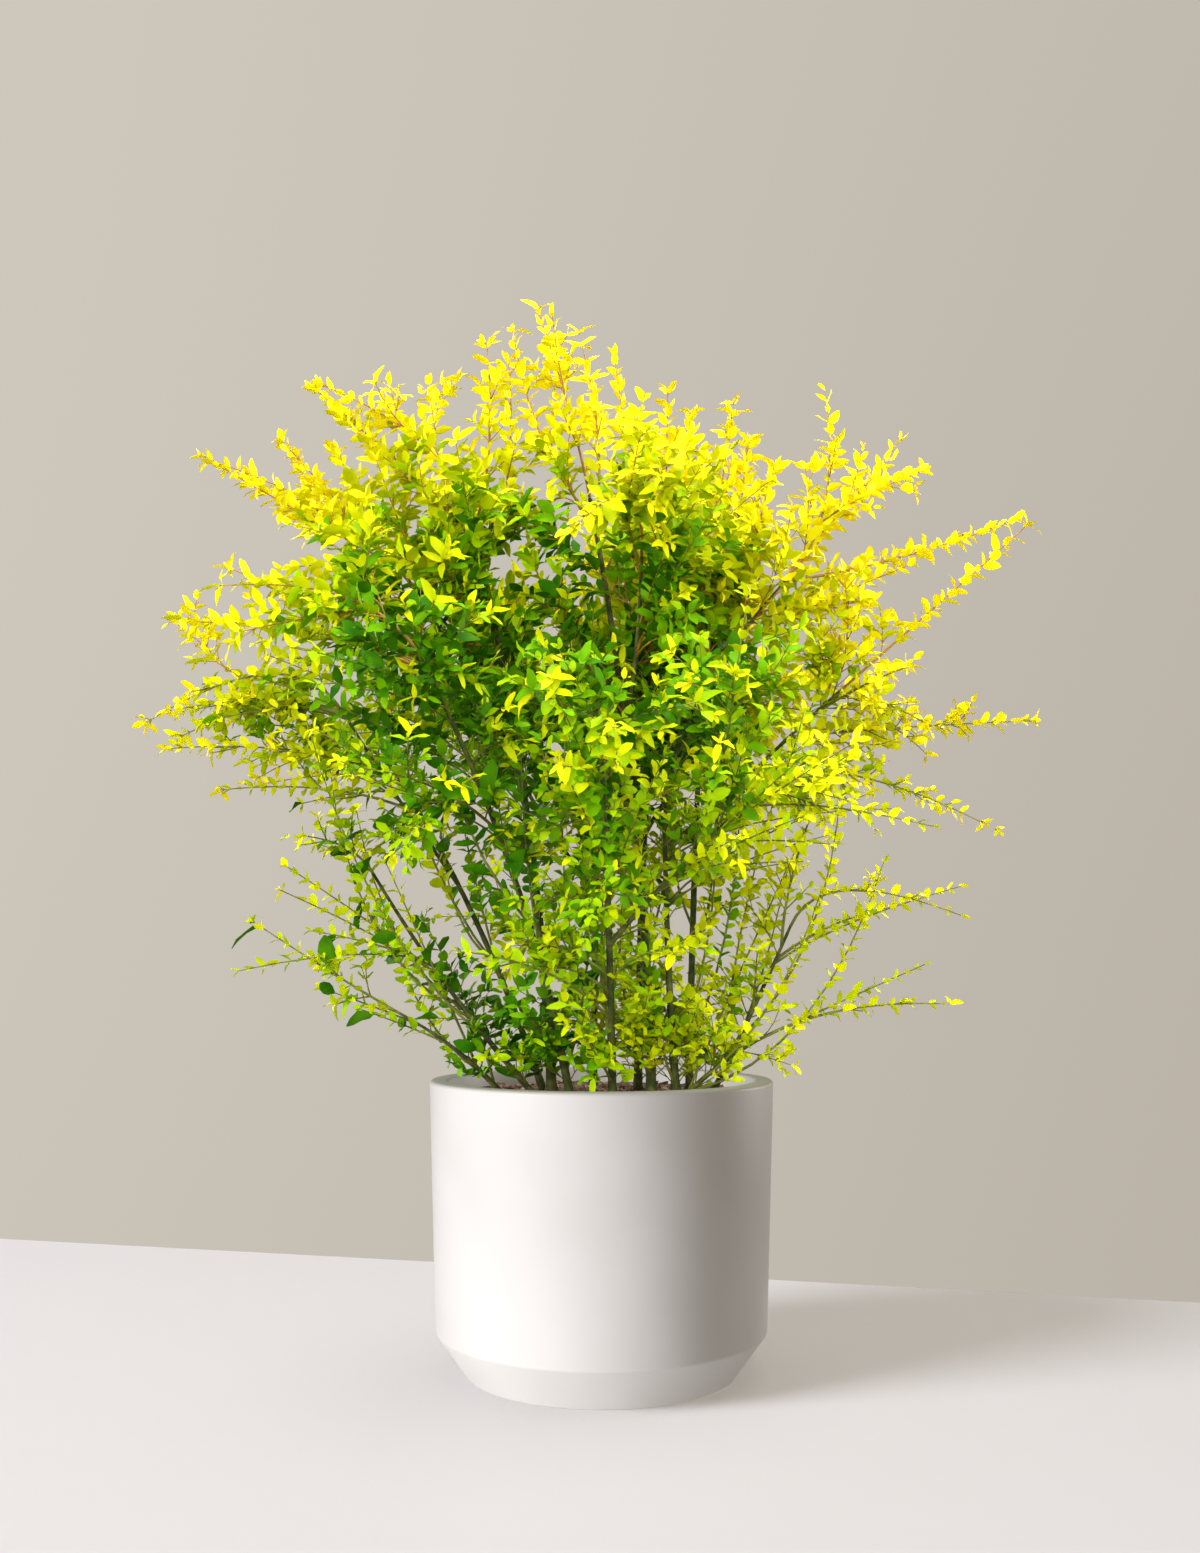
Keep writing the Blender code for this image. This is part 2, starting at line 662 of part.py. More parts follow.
def make_mass(name, shoot, own, space, limbs, limb_tree):
    """One mass of foliage: a shoot, its side twigs and their leaves, joined into one solid."""
    length = LEAF_LENGTH + LEAF_PER_SPREAD * shoot["spread"]
    radii = (SHOOT_RADIUS, SHOOT_TIP_RADIUS)
    shoot_end = leaf_start(shoot, length)
    mass = twig_solid(name, shoot, radii, shoot["colour"], SHOOT_RINGS, shoot_end)
    cut_clear(mass, shoot, limbs)
    pieces = bpy.data.collections.new("pieces")
    radii = (TWIG_RADIUS, TWIG_TIP_RADIUS)
    grown = []
    for twig in side_twigs(shoot, own, space, shoot_end):
        last = leaf_start(twig, length)
        if last > 0:
            obj = twig_solid("twig", twig, radii, shoot["colour"], 2, last)
            if touches(obj, limb_tree):
                discard(obj)
                continue
            move_to(obj, pieces)
        grown.append(twig)
    seats = leaf_seats(shoot, grown, length)
    tilts = np.random.RandomState(TILT_SEED + own).uniform(-1, 1, (len(seats), 3))
    for (root, tip), tilt in zip(seats, tilts):
        for shrink in LEAF_SHRINKS:
            points = leaf_points(root, root + (tip - root) * shrink, tilt)
            leaf = leaf_solid(points, shoot["colour"])
            if in_space(points, own, space) and not touches(leaf, limb_tree):
                move_to(leaf, pieces)
                break
            discard(leaf)
    boolean(mass, "UNION", collection=pieces)


def move_to(obj, collection):
    bpy.context.scene.collection.objects.unlink(obj)
    collection.objects.link(obj)


def main():
    clear_scene()
    make_pot()
    make_soil()
    limbs = limb_lines()
    make_limbs(limbs)
    shoots = shoot_lines(limbs)
    space = space_of(limbs, shoots)
    limb_tree = limb_surfaces(limbs)
    for own, (name, shoot) in enumerate(shoots.items()):
        make_mass(name, shoot, own, space, limbs, limb_tree)


main()
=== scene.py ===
# Potted Chinese privet: bark, twigs, leaves, soil and a satin pot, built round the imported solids.
# Metres, +Z up, the origin at the centre of the pot's flat underside, the front towards -Y.
# Bearings turn from +X towards +Y, in degrees. Every random draw is seeded.
import math

import bpy
import numpy as np
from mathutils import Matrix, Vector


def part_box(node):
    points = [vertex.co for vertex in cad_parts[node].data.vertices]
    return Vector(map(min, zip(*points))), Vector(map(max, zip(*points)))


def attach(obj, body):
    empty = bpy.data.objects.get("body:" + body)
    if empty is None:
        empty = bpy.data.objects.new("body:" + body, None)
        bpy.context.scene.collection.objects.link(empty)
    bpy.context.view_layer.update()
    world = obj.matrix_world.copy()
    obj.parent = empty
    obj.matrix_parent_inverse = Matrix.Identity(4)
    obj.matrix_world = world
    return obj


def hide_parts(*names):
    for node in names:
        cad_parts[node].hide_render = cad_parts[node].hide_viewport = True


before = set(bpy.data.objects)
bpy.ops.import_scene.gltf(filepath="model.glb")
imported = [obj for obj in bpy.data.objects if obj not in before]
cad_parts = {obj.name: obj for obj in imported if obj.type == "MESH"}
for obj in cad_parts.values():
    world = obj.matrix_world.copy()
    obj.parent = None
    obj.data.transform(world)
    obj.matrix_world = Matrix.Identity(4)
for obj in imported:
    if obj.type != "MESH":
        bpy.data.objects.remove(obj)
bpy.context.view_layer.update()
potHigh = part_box("pot")[1]
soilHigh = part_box("soil")[1]
print("frame loaded:", len(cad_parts), "solids")


# Helpers for vectors and lines

def unit(vectors):
    return vectors / np.maximum(np.linalg.norm(vectors, axis=-1, keepdims=True), 1e-12)


def between(low, high, share):  # low at share 0, high at share 1
    return low + (high - low) * share


def smoothStep(value, low, high):  # 0 below low, 1 above high, 3t² - 2t³ in between
    t = np.clip((value - low) / (high - low), 0, 1)
    return t * t * (3 - 2 * t)


def risen(points, values, heights):  # the first value below the first height, then smoothly the second
    return between(*values, smoothStep(points[..., 2], *heights))


def polar(bearing, reach, height):  # point at this bearing and reach from the pot's axis
    turn = math.radians(bearing)
    return np.array([reach * math.cos(turn), reach * math.sin(turn), height])


def bow(foot, start, tip, bend):  # corner point = foot + start × distance to the tip × bend
    reach = np.linalg.norm(tip - foot, axis=-1, keepdims=True)
    return np.stack([foot, foot + start * reach * bend, tip], axis=-2)


def placesOn(lines, shares):
    # for each line and each of its shares s, the point (1-s)² foot + 2s(1-s) corner + s² tip and
    # the direction, unit of (1-s)(corner - foot) + s(tip - corner)
    s = np.broadcast_to(shares, (len(lines), np.shape(shares)[-1]))[..., None]
    foot, corner, tip = (lines[:, None, k] for k in range(3))
    points = (1 - s) ** 2 * foot + 2 * s * (1 - s) * corner + s**2 * tip
    return points, unit((1 - s) * (corner - foot) + s * (tip - corner))


def pointsOn(lines, shares):
    return placesOn(lines, shares)[0]


def lengthsOf(lines):  # the sum of the steps between each line's points at the space shares
    return np.linalg.norm(np.diff(pointsOn(lines, spaceShares), axis=1), axis=2).sum(axis=1)


def sideAxes(directions):
    # across = direction × up, or +X where the direction is upright, and over = across × direction
    across = np.cross(directions, (0.0, 0.0, 1.0))
    upright = np.linalg.norm(across, axis=-1, keepdims=True) < 0.05
    across = np.where(upright, (1.0, 0.0, 0.0), across)
    across = unit(across - directions * (across * directions).sum(-1, keepdims=True))
    return across, np.cross(across, directions)


def wheeled(directions, turn):  # square to each direction, at this turn round it
    across, over = sideAxes(directions)
    return across * np.cos(turn)[..., None] + over * np.sin(turn)[..., None]


def pairedSides(directions, number, roll):
    # two opposite sides for each pair, a quarter turn on from the pair before, give or take a roll
    outward = wheeled(directions, number * math.pi / 2 + roll)
    return np.stack([outward, -outward], axis=-2)


def swung(ahead, side, angle):  # from ahead towards the side by this angle
    return ahead * np.cos(angle) + side * np.sin(angle)


# Helpers for meshes and materials

def copies(template, count, size):  # the template's faces, once for each of count parts of size points
    return (template + np.arange(count)[:, None, None] * size).reshape(-1, template.shape[1])


def ringFaces(rings, sides):
    # two triangles in each cell between neighbouring rings, and fans that close the first and the
    # last ring round the two points that follow the rings
    grid = np.arange(rings * sides).reshape(rings, sides)
    after = np.roll(grid, -1, axis=1)
    low, lowNext, high, highNext = grid[:-1], after[:-1], grid[1:], after[1:]
    first = np.full(sides, rings * sides)
    return np.concatenate([
        np.stack([low, lowNext, highNext], axis=-1).reshape(-1, 3),
        np.stack([low, highNext, high], axis=-1).reshape(-1, 3),
        np.stack([after[0], grid[0], first], axis=-1),
        np.stack([grid[-1], after[-1], first + 1], axis=-1),
    ])


def meshPiece(name, points, faces, material, smooth=True):
    # one object at the origin from a points array and a faces array of equal corner counts
    mesh = bpy.data.meshes.new(name)
    mesh.vertices.add(len(points))
    mesh.vertices.foreach_set("co", np.asarray(points, np.float32).ravel())
    mesh.loops.add(faces.size)
    mesh.loops.foreach_set("vertex_index", np.asarray(faces, np.int32).ravel())
    mesh.polygons.add(len(faces))
    mesh.polygons.foreach_set("loop_start", np.arange(0, faces.size, faces.shape[1], dtype=np.int32))
    mesh.polygons.foreach_set("use_smooth", np.full(len(faces), smooth))
    mesh.update(calc_edges=True)
    mesh.materials.append(material)
    piece = bpy.data.objects.new(name, mesh)
    bpy.context.scene.collection.objects.link(piece)
    return piece


def linear(colour):  # sRGB 0-255 to linear 0-1
    c = np.array(colour, float) / 255
    return tuple(np.where(c <= 0.04045, c / 12.92, ((c + 0.055) / 1.055) ** 2.4))


def addNode(nodes, kind, **values):  # a shader node with these values on its own sockets
    node = nodes.new("ShaderNode" + kind)
    for socket, value in values.items():
        node.inputs[socket].default_value = value
    return node


def noiseMaterial(name, look):
    # noise on object coordinates picks between the look's colours, and finer noise makes the bump
    material = bpy.data.materials.new(name)
    material.use_nodes = True
    nodes, link = material.node_tree.nodes, material.node_tree.links.new
    shader = nodes["Principled BSDF"]
    shader.inputs["Roughness"].default_value = look["roughness"]
    shader.inputs["Specular IOR Level"].default_value = look.get("specular", 0.5)
    place = addNode(nodes, "TexCoord").outputs["Object"]

    def noise(scale, detail):
        grain = addNode(nodes, "TexNoise", Scale=scale, Detail=detail)
        link(place, grain.inputs["Vector"])
        return grain.outputs["Fac"]

    ramp = addNode(nodes, "ValToRGB")
    stops = ramp.color_ramp.elements
    while len(stops) < len(look["colours"]):
        stops.new(0.5)
    for stop, (position, colour) in zip(stops, look["colours"]):
        stop.position = position
        stop.color = (*linear(colour), 1.0)
    link(noise(look["scale"], look.get("detail", 3.0)), ramp.inputs["Fac"])
    link(ramp.outputs["Color"], shader.inputs["Base Color"])
    if "bump" in look:
        bump = addNode(nodes, "Bump", Strength=look["bump"], Distance=look["bumpDepth"])
        link(noise(look["bumpScale"], 4.0), bump.inputs["Height"])
        link(bump.outputs["Normal"], shader.inputs["Normal"])
    return material


def tubes(lines, shares, radii, sides):
    # rings of equal corners round each line, square to it, closed by a blunt foot and tip; ring
    # axes are carried along the line so that the tube doesn't twist
    count, rings = radii.shape
    centres, directions = placesOn(lines, shares)
    across = sideAxes(directions[:, 0])[0]
    turns = np.arange(sides) * 2 * math.pi / sides
    corners = np.empty((count, rings, sides, 3))
    for ring in range(rings):
        along = directions[:, ring]
        across = unit(across - along * (across * along).sum(-1, keepdims=True))
        over = np.cross(along, across)
        wheel = np.cos(turns)[:, None] * across[:, None] + np.sin(turns)[:, None] * over[:, None]
        corners[:, ring] = centres[:, ring, None] + radii[:, ring, None, None] * wheel
    foot = centres[:, 0] - directions[:, 0] * radii[:, 0, None] / 2
    tip = centres[:, -1] + directions[:, -1] * radii[:, -1, None]
    corners = corners.reshape(count, rings * sides, 3)
    points = np.concatenate([corners, foot[:, None], tip[:, None]], axis=1)
    return points.reshape(-1, 3), copies(ringFaces(rings, sides), count, points.shape[1])


# what each lamp may light
lit = {name: bpy.data.collections.new(name) for name in ("plant", "pot", "floor")}


def keepPiece(piece, slotName, replaced=()):  # the plant and its pot are one body
    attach(piece, "root")
    lit["pot" if slotName == "pot" else "plant"].objects.link(piece)
    if replaced:
        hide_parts(*replaced)


# How the shrub grows: the source's sizes and its rule

growth = {
    "seatGap": 0.0003, "stemBend": 0.50, "sideBend": 0.42,
    "forkAngle": math.radians(38), "splayAngle": math.radians(55),
    "stemTaper": 0.50, "boughTaper": 0.60, "forkShrink": 0.85, "tipShrink": 0.95,
    "pairSpacing": 0.038, "pairPerSpread": 0.28, "fewestPairs": 3,
    "firstPair": 0.7, "beyondLastPair": 0.5, "lastShare": 0.98,
    "rollJitter": math.radians(25), "slideJitter": 0.25, "vigour": (0.80, 1.15),
    "twigLift": (0, 0, 0.15), "longestAt": 0.33, "risingPower": 0.6, "fallingPower": 0.7,
    "shrinkSteps": (1.0, 0.8, 0.62, 0.48), "triedAt": np.linspace(0.25, 1, 8),
    "leafLength": 0.052, "leafPerSpread": 0.21, "leafAlone": 1.40,
    "spaceMargin": 0.0016, "limbMargin": 0.004, "ownerAt": 0.6,
}
spaceShares = np.linspace(0, 1, 25)  # where a line is measured along its length

stems = (  # name, foot (x, y), lean at the foot, tip (bearing, reach, height), foot diameter
    ("stem_01", (-0.078, -0.035), 42, (191, 0.27, 0.56), 0.009),
    ("stem_02", (-0.07, 0.03), 20, (163, 0.275, 0.7), 0.011),
    ("stem_03", (-0.058, -0.005), 3, (180, 0.163, 1.01), 0.015),
    ("stem_04", (-0.036, -0.05), 12, (217, 0.25, 0.79), 0.012),
    ("stem_05", (0.058, -0.012), 1, (180, 0.014, 1.03), 0.015),
    ("stem_06", (0.044, 0.04), 2, (57, 0.143, 0.95), 0.013),
    ("stem_07", (0.086, -0.03), 5, (345, 0.078, 0.61), 0.013),
    ("stem_08", (0.105, 0.03), 2, (24, 0.145, 0.865), 0.012),
    ("stem_09", (0.094, -0.065), 48, (351, 0.2, 0.377), 0.008),
    ("stem_10", (0.13, -0.01), 28, (0, 0.225, 0.5), 0.009),
    ("stem_11", (-0.118, -0.01), 42, (188, 0.223, 0.392), 0.008),
    ("stem_12", (0.012, -0.078), 8, (270, 0.25, 0.66), 0.012),
    ("stem_13", (-0.01, 0.08), 8, (90, 0.25, 0.77), 0.013),
)

boughs = (  # name, limb that carries it, how far along that limb, tip
    ("bough_01", "stem_03", 0.68, (162, 0.285, 0.975)),
    ("bough_02", "stem_02", 0.62, (186, 0.312, 0.756)),
    ("bough_03", "stem_07", 1, (355, 0.231, 0.925)),
    ("bough_04", "stem_05", 0.6, (300, 0.095, 0.93)),
    ("bough_05", "stem_08", 0.55, (4, 0.295, 0.79)),
    ("bough_06", "stem_12", 0.45, (306, 0.265, 0.625)),
    ("bough_07", "stem_06", 0.48, (52, 0.275, 0.8)),
    ("bough_08", "stem_13", 0.5, (130, 0.275, 0.83)),
)

masses = (  # name, limb, how far along it, tip, spread, leaves that replace it, fullness, lighter by (a tone shift fitted to how light each part looks: partly the leaves' own colour, partly painted light and shade)
    ("nose", "stem_03", 1, (189, 0.368, 1.164), 0.15, "gold", 1.1, 0),
    ("upper_left", "bough_01", 1, (172, 0.543, 1.119), 0.15, "gold", 0.3, 0),
    ("left", "stem_04", 1, (197, 0.477, 0.876), 0.16, "lemon", 0.5, 0.2),
    ("left_tip", "bough_02", 1, (178, 0.584, 0.735), 0.15, "lemon", 0.65, 0.26),
    ("lower_left", "stem_02", 1, (166, 0.486, 0.68), 0.14, "lime", 0.35, 0.35),
    ("left_skirt", "stem_01", 1, (199, 0.373, 0.598), 0.11, "lime", 0.4, 0.1),
    ("low_left", "stem_11", 1, (186, 0.415, 0.51), 0.07, "lime", 0.55, -0.02),
    ("crest", "stem_05", 1, (200, 0.089, 1.281), 0.14, "gold", 1.1, 0.05),
    ("top", "stem_05", 0.86, (78, 0.061, 1.27), 0.14, "gold", 0.05, 0.14),
    ("top_right", "stem_06", 1, (53, 0.15, 1.249), 0.14, "gold", 0.7, 0.12),
    ("right_shoulder", "stem_08", 1, (343, 0.171, 1.145), 0.14, "gold", 1.8, 0.14),
    ("right_crest", "bough_03", 1, (348, 0.277, 1.159), 0.15, "gold", 0.5, 0.05),
    ("right_top", "bough_03", 0.8, (14, 0.425, 1.168), 0.14, "gold", 0.3, 0.08),
    ("right_tip", "bough_05", 1, (358, 0.54, 1.005), 0.11, "lemon", 0.05, 0),
    ("right", "bough_05", 0.84, (335, 0.385, 0.783), 0.15, "lemon", 0.35, 0.14),
    ("right_arm", "bough_05", 0.7, (8, 0.574, 0.765), 0.08, "lemon", 1.2, 0.12),
    ("right_low_arm", "bough_05", 0.46, (353, 0.468, 0.607), 0.085, "lime", 1.6, 0.04),
    ("right_skirt", "stem_10", 0.8, (20, 0.412, 0.533), 0.11, "lime", 0.15, 0.05),
    ("low_right", "stem_10", 1, (352, 0.446, 0.499), 0.075, "lime", 0.3, 0.12),
    ("low_right_tip", "stem_09", 1, (5, 0.431, 0.408), 0.06, "lime", 0.4, 0.1),
    ("front_left_high", "stem_04", 0.86, (236, 0.363, 0.822), 0.16, "deep", 1, -0.08),
    ("front_high", "bough_04", 1, (264, 0.36, 0.861), 0.17, "deep", 0.7, 0),
    ("front_right_high", "bough_06", 0.8, (294, 0.357, 0.819), 0.16, "deep", 0.9, -0.1),
    ("front_left", "stem_04", 0.6, (232, 0.43, 0.642), 0.16, "lime", 0.5, 0.02),
    ("front", "stem_12", 1, (272, 0.44, 0.659), 0.16, "lime", 0.75, -0.02),
    ("front_right", "bough_06", 1, (308, 0.394, 0.63), 0.15, "lime", 0.8, 0.02),
    # the low front shoots are darker by painted shade under the crown
    ("front_low_left", "stem_12", 0.22, (240, 0.305, 0.468), 0.14, "deep", 0.3, -0.02),
    ("front_low", "stem_12", 0.58, (267, 0.32, 0.495), 0.14, "lime", 0.7, -0.07),
    ("front_low_right", "stem_12", 0.34, (295, 0.288, 0.468), 0.14, "deep", 0.3, -0.02),
    ("back_left_high", "bough_08", 0.8, (126, 0.34, 1.02), 0.16, "gold", 1.2, 0),
    ("back_high", "stem_06", 0.8, (92, 0.33, 1.1), 0.16, "gold", 0.9, 0.1),
    ("back_right_high", "bough_07", 0.8, (58, 0.34, 1), 0.16, "gold", 1.1, 0.08),
    ("back_left", "bough_08", 1, (143, 0.44, 0.78), 0.16, "lemon", 0.4, 0.15),
    ("back", "stem_13", 1, (94, 0.46, 0.8), 0.17, "lemon", 1.1, 0),
    ("back_right", "bough_07", 1, (40, 0.44, 0.76), 0.16, "lemon", 1.1, 0),
    ("back_low_left", "stem_13", 0.3, (136, 0.33, 0.52), 0.14, "deep", 0.2, 0.08),
    ("back_low_right", "stem_13", 0.42, (52, 0.34, 0.52), 0.14, "deep", 0.2, 0.1),
)

fillers = (  # more shoots between them: limb, how far along it, tip, spread, fullness, lighter by (partly painted light and shade, as for the masses)
    ("stem_03", 0.9, (190, 0.12, 1.225), 0.12, 0.5, 0),
    ("stem_03", 0.97, (196, 0.15, 1.235), 0.1, 0.8, 0),
    ("stem_05", 0.62, (215, 0.12, 0.96), 0.12, 1.2, 0),
    ("stem_05", 0.94, (190, 0.06, 1.165), 0.12, 1.2, 0),
    ("stem_08", 0.97, (350, 0.16, 1.06), 0.11, 1.8, 0.05),
    ("bough_01", 0.85, (170, 0.365, 1.135), 0.09, 1.5, 0),
    ("bough_01", 0.3, (195, 0.2, 1.065), 0.12, 1.4, 0),
    ("bough_01", 0.6, (192, 0.285, 1.08), 0.1, 0.6, 0),
    ("stem_03", 0.78, (202, 0.19, 0.97), 0.12, 1.4, 0.04),
    ("stem_08", 0.9, (356, 0.185, 1.12), 0.11, 1.8, 0),
    ("bough_02", 0.7, (181, 0.54, 0.712), 0.11, 1.6, 0.14),
    ("bough_02", 0.5, (177, 0.49, 0.665), 0.11, 0.45, 0.25),
    ("stem_10", 0.88, (352, 0.26, 0.655), 0.08, 0.9, 0.04),
    ("bough_05", 0.3, (345, 0.31, 0.68), 0.12, 0.8, 0),
    ("bough_05", 0.95, (352, 0.4, 0.725), 0.08, 1.2, 0.1),
    ("bough_05", 0.9, (340, 0.27, 0.835), 0.08, 1.4, 0.04),
    ("bough_03", 0.7, (10, 0.3, 0.95), 0.12, 0.9, 0),
    ("stem_03", 0.98, (186, 0.366, 1.168), 0.06, 1.8, 0),
    ("bough_01", 0.97, (176, 0.516, 1.102), 0.055, 1.6, 0),
    ("stem_04", 0.97, (190, 0.46, 0.924), 0.05, 1.6, 0.15),
    ("stem_04", 0.97, (189, 0.497, 0.852), 0.055, 1.4, 0.1),
    ("bough_02", 0.97, (182, 0.526, 0.757), 0.07, 1.8, 0.12),
    ("stem_05", 0.96, (190, 0.114, 1.254), 0.06, 1.3, 0),
    ("stem_06", 0.97, (23, 0.128, 1.175), 0.08, 1.3, 0),
    ("stem_08", 0.85, (351, 0.197, 1.056), 0.1, 1.8, 0),
    ("bough_03", 0.6, (5, 0.234, 1.102), 0.09, 1.8, 0),
    ("bough_03", 0.97, (0, 0.368, 1.087), 0.06, 0.4, 0),
    ("bough_03", 0.98, (4, 0.548, 1.024), 0.04, 0.8, 0.05),
    ("stem_12", 0.8, (235, 0.194, 0.594), 0.1, 1.4, 0),
    ("stem_07", 0.95, (333, 0.175, 0.59), 0.08, 1.2, 0.1),
    ("stem_04", 0.75, (241, 0.172, 0.702), 0.1, 1.4, 0),
    ("bough_02", 0.99, (177, 0.499, 0.75), 0.09, 1.8, 0.14),
    ("bough_02", 0.96, (186, 0.493, 0.731), 0.06, 1.8, 0.14),
    ("bough_05", 0.5, (355, 0.33, 0.607), 0.06, 1.6, 0),
    ("stem_12", 0.55, (239, 0.199, 0.517), 0.08, 1.6, 0),
    ("stem_12", 0.3, (238, 0.201, 0.457), 0.07, 1.6, 0),
    ("stem_13", 0.97, (95, 0.29, 1.01), 0.13, 1.5, 0),
    ("stem_06", 0.9, (78, 0.24, 1.12), 0.12, 1.5, 0),
    ("bough_08", 0.6, (112, 0.33, 0.92), 0.13, 1.4, 0),
    ("bough_07", 0.6, (68, 0.34, 0.9), 0.13, 1.4, 0),
    ("stem_13", 0.7, (92, 0.39, 0.69), 0.13, 1.2, 0),
    ("bough_04", 0.9, (272, 0.22, 1), 0.11, 1, 0),
    ("stem_05", 0.95, (226, 0.042, 1.239), 0.055, 1.2, 0),
    ("bough_02", 0.98, (180, 0.53, 0.719), 0.07, 2.6, 0.14),
    ("bough_05", 0.4, (0, 0.281, 0.606), 0.085, 2.4, 0),
    ("bough_05", 0.35, (336, 0.246, 0.617), 0.085, 2.4, 0),
    ("stem_04", 0.97, (198, 0.391, 0.83), 0.06, 1.6, 0.12),
    ("bough_05", 0.95, (342, 0.326, 0.748), 0.06, 1.6, 0.08),
    ("stem_12", 0.35, (235, 0.183, 0.481), 0.08, 2.2, 0.04),
    ("stem_03", 0.95, (189, 0.335, 1.128), 0.06, 1.8, 0),
    ("bough_01", 0.92, (176, 0.385, 1.079), 0.06, 1.8, 0),
    ("bough_03", 0.8, (349, 0.216, 1.055), 0.06, 1.8, 0.05),
    ("bough_01", 0.95, (177, 0.411, 1.12), 0.05, 2, 0),
    ("bough_02", 0.97, (192, 0.447, 0.759), 0.06, 2, 0.16),
    ("stem_04", 0.9, (201, 0.399, 0.798), 0.06, 2, 0.14),
    ("bough_02", 0.4, (198, 0.26, 0.596), 0.08, 1.6, 0.04),
    ("stem_10", 0.5, (345, 0.188, 0.489), 0.05, 0.9, 0),
    ("bough_02", 0.98, (183, 0.507, 0.754), 0.05, 2.2, 0.16),
    # shoots at the foot, darker by painted shade under the crown
    ("stem_12", 0.04, (262, 0.15, 0.38), 0.07, 1.6, -0.05),
    ("stem_06", 0.04, (282, 0.11, 0.385), 0.07, 1.6, -0.04),
    ("stem_03", 0.04, (238, 0.15, 0.375), 0.07, 1.4, -0.1),
    ("stem_12", 0.08, (255, 0.165, 0.42), 0.08, 1.4, -0.05),
    ("stem_05", 0.05, (285, 0.14, 0.41), 0.08, 1.4, -0.05),
    ("stem_04", 0.08, (235, 0.16, 0.41), 0.08, 0.8, -0.2),
    ("stem_03", 0.05, (215, 0.14, 0.44), 0.08, 0.5, -0.2),
    ("stem_07", 0.1, (315, 0.16, 0.41), 0.08, 1.1, 0),
    ("stem_06", 0.05, (300, 0.06, 0.44), 0.08, 1.4, 0),
)


def carriedLine(carrier, share, tip):
    # goes on straight from the carrier's tip, or leaves its side at the fork angle towards the tip
    foot, direction = (rows[0, 0] for rows in placesOn(carrier[None], [share]))
    if share == 1:
        return bow(foot + direction * growth["seatGap"], direction, tip, growth["sideBend"])
    wanted = tip - foot
    across = unit(wanted - direction * np.dot(wanted, direction))
    return bow(foot, swung(direction, across, growth["forkAngle"]), tip, growth["sideBend"])


def growLimbs():
    # stems lean from their feet towards their tips, and each bough leaves the limb that carries it
    limbs = {}
    for name, (x, y), lean, tip, diameter in stems:
        foot, tip = np.array([x, y, soilHigh.z + growth["seatGap"]]), polar(*tip)
        bearing = math.degrees(math.atan2(tip[1] - y, tip[0] - x))
        start = polar(bearing, math.sin(math.radians(lean)), math.cos(math.radians(lean)))
        limbs[name] = {"line": bow(foot, start, tip, growth["stemBend"]), "isStem": True,
                       "radii": (diameter / 2, diameter / 2 * growth["stemTaper"])}
    for name, carrier, share, tip in boughs:
        parent = limbs[carrier]
        thick = between(*parent["radii"], share)
        thick *= growth["tipShrink"] if share == 1 else growth["forkShrink"]
        limbs[name] = {"line": carriedLine(parent["line"], share, polar(*tip)), "isStem": False,
                       "radii": (thick, thick * growth["boughTaper"])}
    return limbs


limbs = growLimbs()
limbLines = np.array([limb["line"] for limb in limbs.values()])
limbRadii = np.array([limb["radii"] for limb in limbs.values()])
limbPoints = pointsOn(limbLines, spaceShares).reshape(-1, 3)
limbThick = between(limbRadii[:, :1], limbRadii[:, 1:], spaceShares).ravel()

shootRows = [(*mass[1:5], *mass[6:]) for mass in masses] + list(fillers)
shootLines = np.array([carriedLine(limbs[carrier]["line"], share, polar(*tip))
                       for carrier, share, tip, *rest in shootRows])
spreads, fullness, lighter = (np.array([row[column] for row in shootRows]) for column in (3, 4, 5))
shootLengths = lengthsOf(shootLines)
shootPoints = pointsOn(shootLines, spaceShares).reshape(-1, 3)
partSize = 8000  # points measured at a time, to spare memory


def distances(points, others):  # |a - b| from |a|² - 2ab + |b|²
    squares = (points**2).sum(1)[:, None] - 2 * points @ others.T + (others**2).sum(1)
    return np.sqrt(np.maximum(squares, 0))


def shootShares(points):  # how far each point is from each shoot, for that shoot's spread
    result = np.empty((len(points), len(spreads)))
    for first in range(0, len(points), partSize):
        apart = distances(points[first:first + partSize], shootPoints)
        result[first:first + partSize] = apart.reshape(len(apart), len(spreads), -1).min(axis=2) / spreads
    return result


def inSpace(points, owners):
    # nearer, for its spread, to its own shoot than to any other shoot, by the space margin
    share, inverse, rows = shootShares(points), 1 / spreads, np.arange(len(points))
    room = (share - share[rows, owners][:, None]) / (inverse + inverse[owners][:, None])
    room[rows, owners] = 1
    return (room > growth["spaceMargin"]).all(axis=1)


def offLimbs(points, margin):  # further from every stem and bough than its radius and the margin
    result = np.empty(len(points), bool)
    for first in range(0, len(points), partSize):
        part = slice(first, first + partSize)
        result[part] = (distances(points[part], limbPoints) - limbThick > margin).all(axis=1)
    return result


def nearCrown(points):  # nearer to some shoot than its spread
    return (shootShares(points) < 1).any(axis=1)


def ownersOf(lines):  # the shoot that each line is nearest to, for the shoot's spread
    return shootShares(pointsOn(lines, [growth["ownerAt"]])[:, 0]).argmin(axis=1)


def thinnedOut(lines, seed, beyond=0):
    # as many of the lines as the fullness, less beyond, of the shoots that they are nearest to
    return lines[np.random.RandomState(seed).rand(len(lines)) < fullness[ownersOf(lines)] - beyond]


